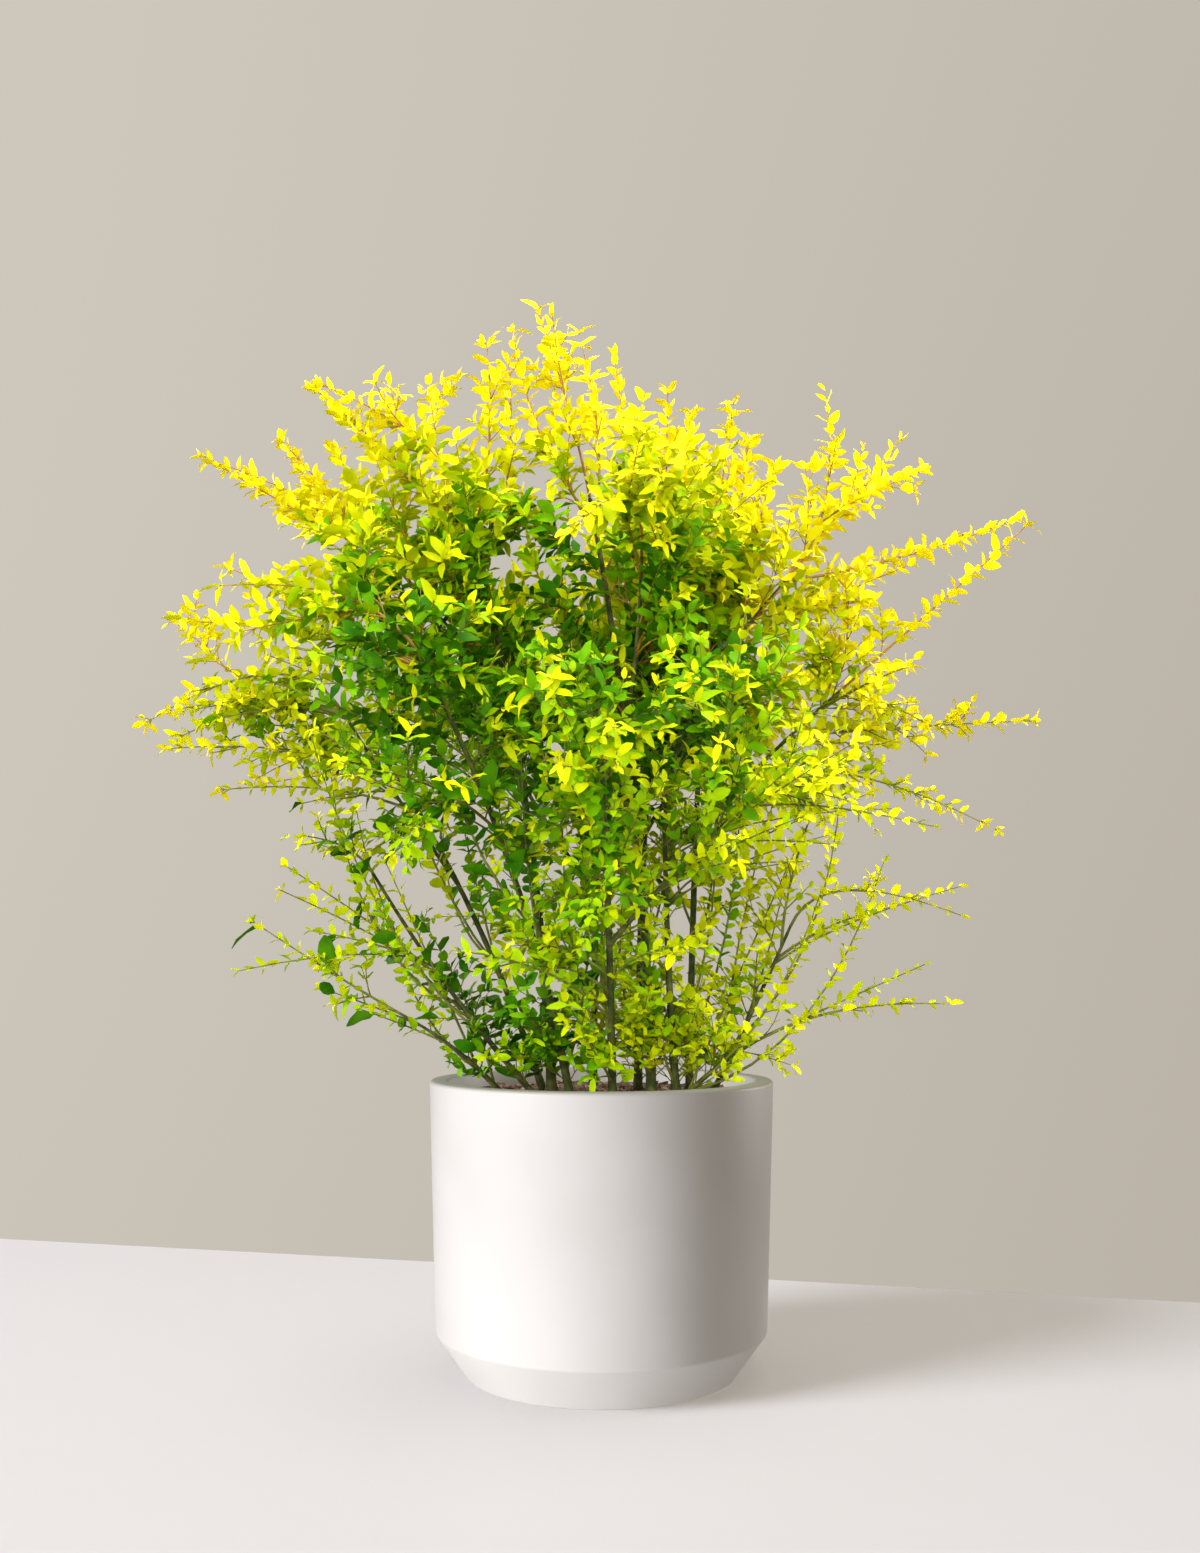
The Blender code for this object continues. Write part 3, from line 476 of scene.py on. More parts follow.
def fitted(foot, start, stretch, owners=None):
    # the first of the shrink steps at which a twig stays off the limbs and, where it has an
    # owner, in that shoot's space, or otherwise inside the crown
    lines = np.zeros((len(foot), 3, 3))
    kept = np.zeros(len(foot), bool)
    tried = growth["triedAt"]
    for shrink in growth["shrinkSteps"]:
        rest = np.flatnonzero(~kept)
        trial = bow(foot[rest], start[rest], foot[rest] + stretch[rest] * shrink, growth["sideBend"])
        outer = pointsOn(trial, tried).reshape(-1, 3)
        if owners is None:
            inside = nearCrown(outer)
        else:
            inside = inSpace(outer, np.repeat(owners[rest], len(tried)))
        fine = (inside & offLimbs(outer, growth["limbMargin"])).reshape(-1, len(tried)).all(axis=1)
        lines[rest[fine]] = trial[fine]
        kept[rest[fine]] = True
    return lines[kept]


def envelope(share):
    # rises to 1 a third of the way up the shoot and falls towards its tip
    rising = np.minimum(share / growth["longestAt"], 1) ** growth["risingPower"]
    falling = np.minimum((1 - share) / (1 - growth["longestAt"]), 1) ** growth["fallingPower"]
    return rising * falling


def shootTwigs(own, seed, later, reachShare):
    # opposite pairs, each a quarter turn from the last; later ones stand between the source's own
    random = np.random.RandomState(seed + own)
    spread, length = spreads[own], shootLengths[own]
    leaf = growth["leafLength"] + growth["leafPerSpread"] * spread
    end = 1 - leaf / length if length > growth["leafAlone"] * leaf else 0.0
    spacing = growth["pairSpacing"] + growth["pairPerSpread"] * spread
    pairs = max(growth["fewestPairs"], round(length / spacing))
    number = np.arange(pairs)
    slides = random.uniform(-growth["slideJitter"], growth["slideJitter"], pairs)
    rolls = random.uniform(-growth["rollJitter"], growth["rollJitter"], pairs)
    vigour = random.uniform(*growth["vigour"], (pairs, 2))
    share = (number + growth["firstPair"] + slides + later) / (pairs + growth["beyondLastPair"])
    share = np.minimum(share, growth["lastShare"]) * (1 if later else end)
    foot, direction = (rows[0] for rows in placesOn(shootLines[own][None], share))
    side = pairedSides(direction, number + later, rolls)
    reach = spread * envelope(share)[:, None, None] * vigour[..., None] * reachShare
    ahead = direction[:, None]
    start = swung(ahead, side, growth["forkAngle"])
    splay = finer["splayAngle"] if later else growth["splayAngle"]
    stretch = (swung(ahead, side, splay) + growth["twigLift"]) * reach
    foot = np.repeat(foot, 2, axis=0)
    return foot, start.reshape(-1, 3), stretch.reshape(-1, 3), np.full(pairs * 2, own)


leafLook = {  # where two values stand, the first is low down and the second in the crown
    "rise": (0.56, 0.96), "length": (0.0155, 0.0242), "aspect": (0.62, 0.54),
    "spacing": (0.80, 0.44),  # of a leaf's length, between pairs
    "sizes": (0.68, 1.25), "darkLarger": 0.35, "youngAspect": 0.38, "youngLarger": 1.02,
    "fold": 0.18, "droop": 0.13, "wave": 0.06, "waves": 9,
    "angle": math.radians(52), "tipAngle": math.radians(28), "youngAngle": math.radians(50),
    "outward": 0.85, "tilt": 0.80, "tipShrink": 0.28, "starPull": 0.75,
    "roll": 0.5, "stray": 0.2, "limbMargin": 0.001,
    "leastLine": 0.3,  # of a line that makes room for its last leaves
    "sprayAt": 0.7, "ending": (0.75, 1.0),  # where along a line its tone is read, and its last part
    "widths": (0.88, 1.12), "droops": (0.2, 1.7), "folds": (0.4, 1.5),  # times the usual value
    "finish": {"scale": 38.0, "detail": 2.0, "roughness": 0.55, "specular": 0.05},
    "darkStop": 0.35, "lightStop": 0.65,
}

finer = {
    # sets of pairs: seed, places later than the source's pairs, reach, what the fullness is less
    "sets": ((20, 0, 1.0, 0), (900, 0.5, 0.65, 0), (920, 0.25, 0.75, 1)),
    "splayAngle": math.radians(42),
    # twigs on twigs: the reach falls along the twig, within the least and the most
    "seed": 950, "spacing": 0.027, "reachShare": 0.50, "fall": 0.6, "least": 0.018, "most": 0.070,
    "firstPair": 0.75, "beyondLastPair": 0.35, "lastShare": 0.95, "fromSprouts": 0.06,
    "slide": 0.25, "roll": 0.5, "vigour": (0.4, 1.2),
    "thinTop": (0.85, 1.05), "topThinned": 0.60,  # fewer of them towards the top and the foot
    "thinFoot": (0.50, 0.95), "footThinned": 0.40,
}


def growTwigs():
    # the source's own side twigs, as many between them, and more on the fullest shoots
    sets = []
    for seed, later, reach, beyond in finer["sets"]:
        rows = [shootTwigs(own, seed, later, reach) for own in range(len(shootLines))]
        foot, start, stretch, owners = (np.concatenate(column) for column in zip(*rows))
        lines = fitted(foot, start, stretch, None if later else owners)
        sets.append(thinnedOut(lines, seed, beyond))
    return np.concatenate(sets)


def growTwiglets(lines):
    # pairs along each twig; their reach falls from the twig's foot to its tip
    look = finer
    random = np.random.RandomState(look["seed"])
    lengths = lengthsOf(lines)
    pairs = np.round(lengths / look["spacing"]).astype(int)
    number = np.arange(pairs.max())[None]
    slides = random.uniform(-look["slide"], look["slide"], (len(lines), pairs.max()))
    share = (number + look["firstPair"] + slides) / (pairs[:, None] + look["beyondLastPair"])
    share = np.clip(share, 0, look["lastShare"])
    foot, direction = placesOn(lines, share)
    side = pairedSides(direction, number, random.uniform(-look["roll"], look["roll"], share.shape))
    vigour = random.uniform(*look["vigour"], (*share.shape, 2))
    reach = (lengths[:, None] * look["reachShare"] * (1 - look["fall"] * share))[..., None] * vigour
    reach = np.minimum(reach, look["most"])
    ahead = direction[:, :, None]
    start = swung(ahead, side, growth["forkAngle"])
    stretch = (swung(ahead, side, look["splayAngle"]) + growth["twigLift"]) * reach[..., None]
    keep = (number < pairs[:, None])[..., None] & (reach > look["least"])
    thinned = risen(foot, (look["footThinned"], 0), look["thinFoot"])
    thinned += risen(foot, (0, look["topThinned"]), look["thinTop"])
    keep &= random.rand(*reach.shape) > thinned[..., None]
    foot = np.broadcast_to(foot[:, :, None], side.shape)
    return fitted(foot[keep], start[keep], stretch[keep])


sprout = {  # where two values stand, the first is low down and the second in the crown
    "seed": 300, "span": (0.01, 0.98), "heights": (0.35, 0.44, 0.85), "spacings": (0.010, 0.024, 0.055),
    "rise": (0.50, 0.85), "least": (0.025, 0.07), "most": (0.085, 0.22),
    "roll": 0.6, "ahead": 0.45, "lift": 0.35, "steep": 0.9, "limbMargin": 0.004,
}

whip = {
    "seed": 410, "each": 3, "span": (0.02, 0.40),  # from the lower part of each stem
    "reach": (0.16, 0.42), "lean": 0.28, "leastLean": 0.3, "lift": 0.50, "bend": 0.45, "side": 0.55,
}

arm = {
    "seed": 430, "each": 10, "span": (0.45, 0.98),  # from the upper part of every stem and bough
    "reach": (0.13, 0.30), "lift": 0.30, "stray": 0.45, "bend": 0.35,
    "ahead": 0.5, "triedAt": np.linspace(0.3, 1, 6), "limbMargin": 0.003,
}

clearance = {"rimInset": 0.035, "room": 0.004}  # what tips leave free over the rim and the soil


def clearOfPot(tips):
    overRim = np.hypot(tips[:, 0], tips[:, 1]) > potHigh.x - clearance["rimInset"]
    return tips[:, 2] > np.where(overRim, potHigh.z, soilHigh.z) + clearance["room"]


def growSprouts():
    # leafy shoots in opposite pairs up every stem and bough, short and close near the pot,
    # longer and wider apart in the crown, clear of the rim and the soil
    look = sprout
    random = np.random.RandomState(look["seed"])
    feet, starts, tips = [], [], []
    for line, length in zip(limbLines, lengthsOf(limbLines)):
        finest = int(length / look["spacings"][0])
        share = between(*look["span"], (np.arange(finest) + random.rand(finest)) / finest)
        foot, direction = (rows[0] for rows in placesOn(line[None], share))
        spacing = np.interp(foot[:, 2], look["heights"], look["spacings"])
        kept = random.rand(finest) < look["spacings"][0] / spacing
        foot, direction = foot[kept], direction[kept]
        pairs = len(foot)
        roll = random.uniform(-look["roll"], look["roll"], pairs)
        side = pairedSides(direction, np.arange(pairs), roll)
        foot, ahead = foot[:, None], direction[:, None]
        least, most = (risen(foot, look[name], look["rise"]) for name in ("least", "most"))
        reach = between(least, most, random.rand(pairs, 2))
        away = unit(side + ahead * look["ahead"] + (0, 0, look["lift"]))
        feet.append(np.repeat(foot[:, 0], 2, axis=0))
        starts.append(unit(side * look["steep"] + ahead).reshape(-1, 3))
        tips.append((foot + away * reach[..., None]).reshape(-1, 3))
    foot, start, tip = (np.concatenate(rows) for rows in (feet, starts, tips))
    clear = clearOfPot(tip) & offLimbs(tip, look["limbMargin"])
    clear &= nearCrown(tip) | (np.linalg.norm(tip - foot, axis=1) < look["most"][0])
    return thinnedOut(bow(foot, start, tip, growth["sideBend"])[clear], look["seed"])


def feetOn(lines, look, random):  # a number of random places on each line, within the look's span
    share = random.uniform(*look["span"], (len(lines), look["each"]))
    return (rows.reshape(-1, 3) for rows in placesOn(lines, share))


def growWhips():
    # long thin shoots that leave the lower part of each stem and rise beside it
    look = whip
    random = np.random.RandomState(look["seed"])
    foot, direction = feetOn(limbLines[:len(stems)], look, random)
    side = wheeled(direction, random.uniform(0, 2 * math.pi, len(foot)))
    reach = random.uniform(*look["reach"], (len(foot), 1))
    lean = random.uniform(look["leastLean"], 1.0, (len(foot), 1)) * look["lean"]
    tip = foot + unit(direction + side * lean + (0, 0, look["lift"])) * reach
    whips = bow(foot, unit(direction + side * look["side"]), tip, look["bend"])
    return whips[clearOfPot(tip) & nearCrown(tip)]


def growArms():
    # long straight shoots from the upper limbs towards the crown's outline
    look = arm
    random = np.random.RandomState(look["seed"])
    foot, direction = feetOn(limbLines, look, random)
    away = unit(foot * (1, 1, 0)) + (0, 0, look["lift"])
    away = unit(away + random.uniform(-1, 1, foot.shape) * look["stray"])
    tip = foot + away * random.uniform(*look["reach"], (len(foot), 1))
    arms = bow(foot, unit(direction * look["ahead"] + away), tip, look["bend"])
    outer = pointsOn(arms, look["triedAt"]).reshape(-1, 3)
    clear = nearCrown(outer) & offLimbs(outer, look["limbMargin"])
    return thinnedOut(arms[clear.reshape(len(arms), -1).all(axis=1)], look["seed"])


def trimmed(lines, leaves):  # the same lines, ended early by so much of a full leaf's length
    share = 1 - leafLook["length"][1] * leaves / lengthsOf(lines)
    share = np.maximum(share, leafLook["leastLine"])[:, None]
    foot, corner = lines[:, 0], lines[:, 1]
    tip = pointsOn(lines, share)[:, 0]
    return np.stack([foot, foot + (corner - foot) * share, tip], axis=1)


leafShoots = trimmed(shootLines, 0.8)
twigLines = trimmed(growTwigs(), 0.6)
sproutLines = growSprouts()
whipLines = growWhips()
armLines = trimmed(growArms(), 0.6)
longSprouts = sproutLines[lengthsOf(sproutLines) > finer["fromSprouts"]]
twigletLines = growTwiglets(np.concatenate([twigLines, longSprouts]))
lineKinds = (  # lines, where their leaves start, their tube's radius at foot and tip, rings, sides
    (leafShoots, 0.3, (0.0020, 0.0007), 12, 6), (twigLines, 0.25, (0.0010, 0.0006), 5, 4),
    (twigletLines, 0.3, (0.0007, 0.0004), 4, 3), (sproutLines, 0.4, (0.0009, 0.0005), 4, 3),
    (whipLines, 0.25, (0.0019, 0.0006), 9, 5), (armLines, 0.25, (0.0014, 0.0006), 7, 4),
)
print("twigs:", len(twigLines), "twiglets:", len(twigletLines), "sprouts:", len(sproutLines),
      "whips:", len(whipLines), "arms:", len(armLines))


# Leaves

# along the leaf from the twig: place, half width as a share of the leaf's width
leafRows = np.array([(-0.06, 0.08), (0.20, 0.80), (0.48, 1.0), (0.80, 0.70), (1.0, 0.14)])

leafTones = (  # from the darkest to the lightest: name, slot, darker and lighter colour
    ("deep", "leaf_green", (46, 106, 1), (76, 134, 2)),
    ("green", "leaf_green", (92, 152, 1), (118, 174, 2)),
    ("middle", "leaf_green", (144, 187, 3), (174, 207, 4)),
    ("lime", "leaf_lime", (190, 206, 5), (208, 218, 7)),
    ("spring", "leaf_lime", (209, 217, 7), (225, 228, 9)),
    ("lemon", "leaf_lemon", (234, 234, 8), (244, 242, 12)),
    ("yellow", "leaf_gold", (246, 237, 16), (251, 244, 26)),
    ("gold", "leaf_gold", (249, 230, 16), (253, 240, 28)),
)

toneLook = {
    # the crown's dark middle, where the leaves are deeper green and also darkened by painted shade of the
    # crown on itself: its centre, its reach to each side and how many times that below
    "core": (-0.11, 0.0, 0.76), "coreSize": (0.60, 0.85, 0.50), "below": 1.6,
    "width": (0.35, 1), "widthRise": (0.35, 0.75),  # it narrows towards the pot
    "outward": (0.28, 0.98),  # how far out of it the tone is darkest and lightest
    "least": (0.68, 0.14), "leastRise": (0.42, 0.78),
    "lightest": (0.38, 1.0), "lightestRise": (0.35, 1.05),
    "spread": 0.13, "along": 0.42, "evenAt": 0.6, "leafSpread": 0.07,
    "youngShare": 0.36, "young": (0.037, 0.37), "youngRise": (0.48, 0.72), "leastYoung": 0.3,
    "oldShare": 0.05, "oldLarger": 2.0, "oldTone": 0.03,  # large dark leaves low on the left
    "oldLeftOf": -0.08, "oldBelow": 0.66,
}


def lightestAt(points):  # the lightest tone rises with height; its low value near the pot is partly greener leaves and partly painted shade under the crown
    return risen(points, toneLook["lightest"], toneLook["lightestRise"])


def toneAt(points):  # 0 to 1 from deep green to gold, from the crown's core to its outline; the darker core and foot are partly the leaves' own green and partly painted shade
    look = toneLook
    away = (points - look["core"]) / look["coreSize"]
    away[..., 0] /= risen(points, look["width"], look["widthRise"])
    away[..., 2] /= np.where(away[..., 2] < 0, look["below"], 1)
    outward = smoothStep(np.linalg.norm(away, axis=-1), *look["outward"])
    least = risen(points, look["least"], look["leastRise"])
    return between(least, 1, outward) * lightestAt(points)


def leafByHeight(points, name):
    return risen(points, leafLook[name], leafLook["rise"])


def leafNodes(lines, seed, start):
    # pairs of leaves along each line, each pair a quarter turn from the last; every spray has the
    # tone of its own place, and some sprays end in a star of young, lighter, narrower leaves
    look = leafLook
    random = np.random.RandomState(seed)
    middle = pointsOn(lines, [look["sprayAt"]])[:, 0]
    lengths, leafLengths, lightest = lengthsOf(lines), leafByHeight(middle, "length"), lightestAt(middle)
    # each shoot's lighter-by shift carries its painted light and shade
    tones = toneAt(middle) + lighter[ownersOf(lines)]
    tones += random.normal(0, toneLook["spread"], len(lines)) * lightest
    young = random.rand(len(lines)) < toneLook["youngShare"]
    younger = young * random.uniform(toneLook["leastYoung"], 1, len(lines))
    younger *= risen(middle, toneLook["young"], toneLook["youngRise"])
    spacing = leafByHeight(middle, "spacing")
    count = np.maximum(np.ceil(lengths * (1 - start) / leafLengths / spacing).astype(int), 1)[:, None]
    number = np.arange(count.max())[None]
    share = between(start, 1, (number + 1) / count)
    share += (1 - share) * look["starPull"] * (young[:, None] & (number == count - 2))
    share = np.where(number < count, share, 1.0)
    root, direction = placesOn(lines, share)
    side = pairedSides(direction, number, random.uniform(-look["roll"], look["roll"], share.shape))
    last = smoothStep(share, *look["ending"])
    star = last * young[:, None]
    endAngle = np.where(young, look["youngAngle"], look["tipAngle"])[:, None]
    angle = between(look["angle"], endAngle, last)
    angle = (angle + random.uniform(-look["stray"], look["stray"], share.shape))[..., None, None]
    heading = unit(swung(direction[:, :, None], side, angle))
    tone = tones[:, None] + toneLook["along"] * lightest[:, None] * (share - toneLook["evenAt"])
    tone = tone + younger[:, None] * last + random.normal(0, toneLook["leafSpread"], share.shape)
    size = 1 - look["tipShrink"] * (last - star) + (look["youngLarger"] - 1) * star
    size = leafLengths[:, None] * size * (1 + look["darkLarger"] * (0.5 - np.clip(tone, 0, 1)))
    size = size[..., None] * random.uniform(*look["sizes"], (*share.shape, 2))
    aspect = between(leafByHeight(middle, "aspect")[:, None], look["youngAspect"], star)
    root = np.broadcast_to(root[:, :, None], heading.shape)
    keep, tone, aspect = (np.broadcast_to(rows[..., None], size.shape)
                          for rows in (number < count, tone, aspect))
    return [rows[keep] for rows in (root, heading, size, aspect, tone)]


def leafMesh(roots, headings, sizes, aspects, seed):
    # rows of three points (edge, midrib, edge) along each leaf: half width from the row table,
    # edges lifted by the fold and a sine wave, and the whole bent down by droop × place², more so
    # the narrower the leaf
    look = leafLook
    random = np.random.RandomState(seed)
    count = len(roots)
    facing = unit(roots * (1, 1, 0)) * look["outward"] + (0, 0, 1)
    facing += random.uniform(-1, 1, (count, 3)) * look["tilt"]
    side = unit(np.cross(headings, facing))
    normal = np.cross(side, headings)[:, None]
    place, half = leafRows[:, 0], leafRows[:, 1] / 2
    width = random.uniform(*look["widths"], count) * aspects
    droop = random.uniform(*look["droops"], count) * look["droop"]
    droop *= (look["aspect"][0] / aspects) ** 2
    fold = random.uniform(*look["folds"], count) * look["fold"]
    bent = normal * (droop[:, None] * np.maximum(place, 0) ** 2)[..., None]
    middle = headings[:, None] * place[:, None] - bent
    halfWidth = half * width[:, None]
    aside = side[:, None] * halfWidth[..., None]
    raised = normal * (halfWidth * 2 * fold[:, None])[..., None]
    phase = random.uniform(0, 2 * math.pi, (2, count, 1))
    wave = np.sin(place * look["waves"] + phase) * look["wave"] * half * 2
    left, right = (raised + normal * edge[..., None] for edge in wave)
    rows = np.stack([middle - aside + left, middle, middle + aside + right], axis=2)
    points = roots[:, None, None] + rows * sizes[:, None, None, None]
    grid = np.arange(len(place) * 3).reshape(-1, 3)
    low, high = grid[:-1], grid[1:]
    template = np.concatenate([np.stack([low[:, k], low[:, k + 1], high[:, k + 1], high[:, k]], axis=-1)
                               for k in (0, 1)])
    return points.reshape(-1, 3), copies(template, count, grid.size)


def makeLeaves():
    # the tone picks each leaf's piece; the masses of the source are replaced by four of the pieces
    sets = [leafNodes(lines, seed, start) for seed, (lines, start, *_) in enumerate(lineKinds, 1)]
    leaves = [np.concatenate(column) for column in zip(*sets)]
    roots, headings, sizes = leaves[:3]
    tips = roots + headings * sizes[:, None]
    fine = offLimbs(tips, leafLook["limbMargin"]) & clearOfPot(tips)
    roots, headings, sizes, aspects, tones = (rows[fine] for rows in leaves)
    old = (roots[:, 0] < toneLook["oldLeftOf"]) & (roots[:, 2] < toneLook["oldBelow"])
    old &= np.random.RandomState(8).rand(len(roots)) < toneLook["oldShare"]
    tones[old] = toneLook["oldTone"]
    sizes[old] *= toneLook["oldLarger"]
    level = np.clip((tones * len(leafTones)).astype(int), 0, len(leafTones) - 1)
    for number, (name, slotName, dark, light) in enumerate(leafTones):
        chosen = level == number
        parts = (rows[chosen] for rows in (roots, headings, sizes, aspects))
        points, faces = leafMesh(*parts, seed=60 + number)
        colours = [(leafLook["darkStop"], dark), (leafLook["lightStop"], light)]
        look = {"colours": colours, **leafLook["finish"]}
        piece = meshPiece("leaves_" + name, points, faces, noiseMaterial("leaf " + name, look))
        keepPiece(piece, slotName, ["foliage_" + mass[0] for mass in masses if mass[5] == name])
        print("leaves", name, chosen.sum())
    print("leaves in all:", len(roots), "triangles:", len(roots) * (len(leafRows) - 1) * 4)


makeLeaves()


# Twigs

twigLook = {
    "upperAbove": 0.80,
    "upper": {"colours": [(0.35, (150, 106, 18)), (0.65, (184, 138, 32))], "scale": 60.0,
              "roughness": 0.6},
    "lower": {"colours": [(0.35, (92, 98, 26)), (0.65, (132, 136, 44))], "scale": 60.0,
              "roughness": 0.65},
}


def makeTwigs():
    # tubes whose radius falls evenly from foot to tip, in one piece high up and one low down
    for part in ("upper", "lower"):
        meshes, start = [], 0
        for lines, _, radii, rings, sides in lineKinds:
            high = pointsOn(lines, [0.5])[:, 0, 2] > twigLook["upperAbove"]
            chosen, shares = lines[high == (part == "upper")], np.linspace(0, 1, rings)
            radius = np.broadcast_to(between(*radii, shares), (len(chosen), rings))
            points, faces = tubes(chosen, shares, radius, sides)
            meshes.append((points, faces + start))
            start += len(points)
        points, faces = (np.concatenate(column) for column in zip(*meshes))
        material = noiseMaterial("twig " + part, twigLook[part])
        keepPiece(meshPiece("twigs_" + part, points, faces, material), "bark")
        print("twigs", part, len(faces), "triangles")


makeTwigs()


# Bark

barkLook = {
    "sides": 18, "ringSpacing": 0.004, "fewestRings": 12, "slender": 0.76,
    "stemFlare": 0.30, "boughFlare": 0.35, "flareLength": 0.010,
    "nodeSpacing": 0.045, "nodeSwell": 0.10, "nodeWidth": 0.004, "nodeShift": 0.01,
    "ridges": (2, 3, 5), "ridge": 0.0225, "ridgeTwist": 40,
    "knobs": 4, "knob": 0.0175, "knobWaves": 310,
    "finish": {"colours": [(0.30, (34, 42, 6)), (0.50, (64, 74, 14)), (0.70, (112, 116, 42))],
               "scale": 55.0, "detail": 6.0, "roughness": 0.78, "bumpScale": 420.0, "bump": 0.5,
               "bumpDepth": 0.0006},
}


def makeLimb(name, limb, number):
    # radius along the limb × (1 + flare at the foot + node rings + ridges that wind up it + knobs)
    look = barkLook
    sides, line = look["sides"], limb["line"][None]
    length = lengthsOf(line)[0]
    rings = max(int(length / look["ringSpacing"]), look["fewestRings"])
    shares = np.linspace(0, 1, rings)
    rise = shares * length
    radius = between(*limb["radii"], shares) * look["slender"]
    flare = look["stemFlare"] if limb["isStem"] else look["boughFlare"]
    radius *= 1 + flare * np.exp(-rise / look["flareLength"])
    fromNode = (rise + look["nodeShift"] * number) % look["nodeSpacing"] - look["nodeSpacing"] / 2
    radius *= 1 + look["nodeSwell"] * np.exp(-(fromNode / look["nodeWidth"]) ** 2)
    points, faces = tubes(line, shares, radius[None], sides)
    random = np.random.RandomState(number)
    turns = np.arange(sides) * 2 * math.pi / sides
    relief = np.zeros((rings, sides))
    for ridges in look["ridges"]:
        phase = random.uniform(0, 6.28) + rise * random.uniform(-look["ridgeTwist"], look["ridgeTwist"])
        relief += np.cos(ridges * turns[None] + phase[:, None]) * look["ridge"]
    knobs = np.sin(rise * look["knobWaves"] + random.uniform(0, 6.28))[:, None]
    relief += knobs * np.cos(look["knobs"] * turns)[None] * look["knob"]
    centres = pointsOn(line, shares)[0][:, None]
    wall = points[:rings * sides].reshape(rings, sides, 3)
    wall[:] = centres + (wall - centres) * (1 + relief[..., None])
    keepPiece(meshPiece("bark_" + name, points, faces, barkMaterial), "bark", [name])


barkMaterial = noiseMaterial("bark", barkLook["finish"])
for number, (name, limb) in enumerate(limbs.items()):
    makeLimb(name, limb, number)
print("bark on", len(limbs), "limbs")


# Pot

potLook = {
    "segments": 256,
    "rimRadius": 0.200, "shoulderRadius": 0.1885, "shoulderHeight": 0.0466, "baseRadius": 0.1538,
    "wall": 0.022, "floor": 0.020, "rimRound": 0.004, "bendRound": 0.008, "baseRound": 0.003,
    "finish": {"colours": [(0.30, (210, 205, 202)), (0.70, (219, 215, 212))], "scale": 6.0,
               "detail": 2.0, "roughness": 0.45, "specular": 0.30, "bumpScale": 260.0, "bump": 0.08,
               "bumpDepth": 0.0004},
}


def roundedCorner(before, corner, after, radius, steps=7):
    # arc between the tangent points on both sides of the corner
    corner, before, after = (np.array(point, float) for point in (corner, before, after))
    inward, outward = unit(before - corner), unit(after - corner)
    half = math.acos(np.clip(np.dot(inward, outward), -1, 1)) / 2
    centre = corner + unit(inward + outward) * radius / math.sin(half)
    first = corner + inward * radius / math.tan(half) - centre
    last = corner + outward * radius / math.tan(half) - centre
    swing, s = math.pi - 2 * half, np.linspace(0, 1, steps)[:, None]
    return centre + (np.sin((1 - s) * swing) * first + np.sin(s * swing) * last) / math.sin(swing)


def turnedPoints(radius, height, segments):
    # a ring for each radius and height, x = r cos a and y = r sin a
    turns = np.arange(segments) * 2 * math.pi / segments
    radius = radius[:, None]
    height = np.broadcast_to(height, (len(radius), segments))
    return np.stack([radius * np.cos(turns), radius * np.sin(turns), height], axis=-1)


def makePot():
    # (radius, height) outline with rounded corners, carried round Z, with a point at both ends
    look = potLook
    base, shoulder = (look["baseRadius"], 0), (look["shoulderRadius"], look["shoulderHeight"])
    rimOut, rimIn = (look["rimRadius"], potHigh.z), (look["rimRadius"] - look["wall"], potHigh.z)
    shoulderIn = (look["shoulderRadius"] - look["wall"], look["shoulderHeight"] + look["floor"] / 4)
    floorIn = (look["baseRadius"] - look["wall"] / 2, look["floor"])
    outline = np.concatenate([
        [(look["baseRadius"] / 2, 0)],
        roundedCorner((0, 0), base, shoulder, look["baseRound"], 5),
        roundedCorner(base, shoulder, rimOut, look["bendRound"]),
        roundedCorner(shoulder, rimOut, rimIn, look["rimRound"]),
        roundedCorner(rimOut, rimIn, shoulderIn, look["rimRound"]),
        [shoulderIn, floorIn, (look["baseRadius"] / 2, look["floor"])],
    ])
    wall = turnedPoints(outline[:, 0], outline[:, 1:], look["segments"])
    points = np.concatenate([wall.reshape(-1, 3), [(0, 0, 0), (0, 0, look["floor"])]])
    faces = ringFaces(len(outline), look["segments"])
    piece = meshPiece("pot_shell", points, faces, noiseMaterial("pot satin", look["finish"]))
    piece.data.set_sharp_from_angle(angle=math.radians(40))
    piece.visible_diffuse = False  # the lamps alone light the floor beside it
    keepPiece(piece, "pot", ["pot"])


makePot()
print("pot done")


# Soil

soilLook = {
    "seed": 5, "rings": 75, "spokes": 300, "innermost": 0.01, "crowding": 0.8,
    "relief": 0.0035, "sink": 0.0035, "edgeRoom": 0.0008, "depth": 0.03,
    "waves": ((60, 1.0), (170, 0.7), (420, 0.5), (900, 0.35)),  # waves in 2π metres, their share
    "chips": 900, "chipSize": (0.004, 0.013), "chipShape": (0.5, 0.32, 0.16), "chipEdgeRoom": 0.012,
    "chipPinch": 0.55, "chipTilt": 0.35, "chipLift": 0.06,
    "finish": {"colours": [(0.30, (62, 42, 34)), (0.50, (116, 86, 72)), (0.72, (182, 150, 136))],
               "scale": 240.0, "detail": 6.0, "roughness": 0.95, "bumpScale": 600.0, "bump": 0.8,
               "bumpDepth": 0.0015},
    "chipFinish": {"colours": [(0.32, (104, 74, 60)), (0.50, (162, 124, 106)), (0.70, (214, 184, 168))],
                   "scale": 90.0, "detail": 4.0, "roughness": 0.9, "bumpScale": 500.0, "bump": 0.5,
                   "bumpDepth": 0.0008},
}


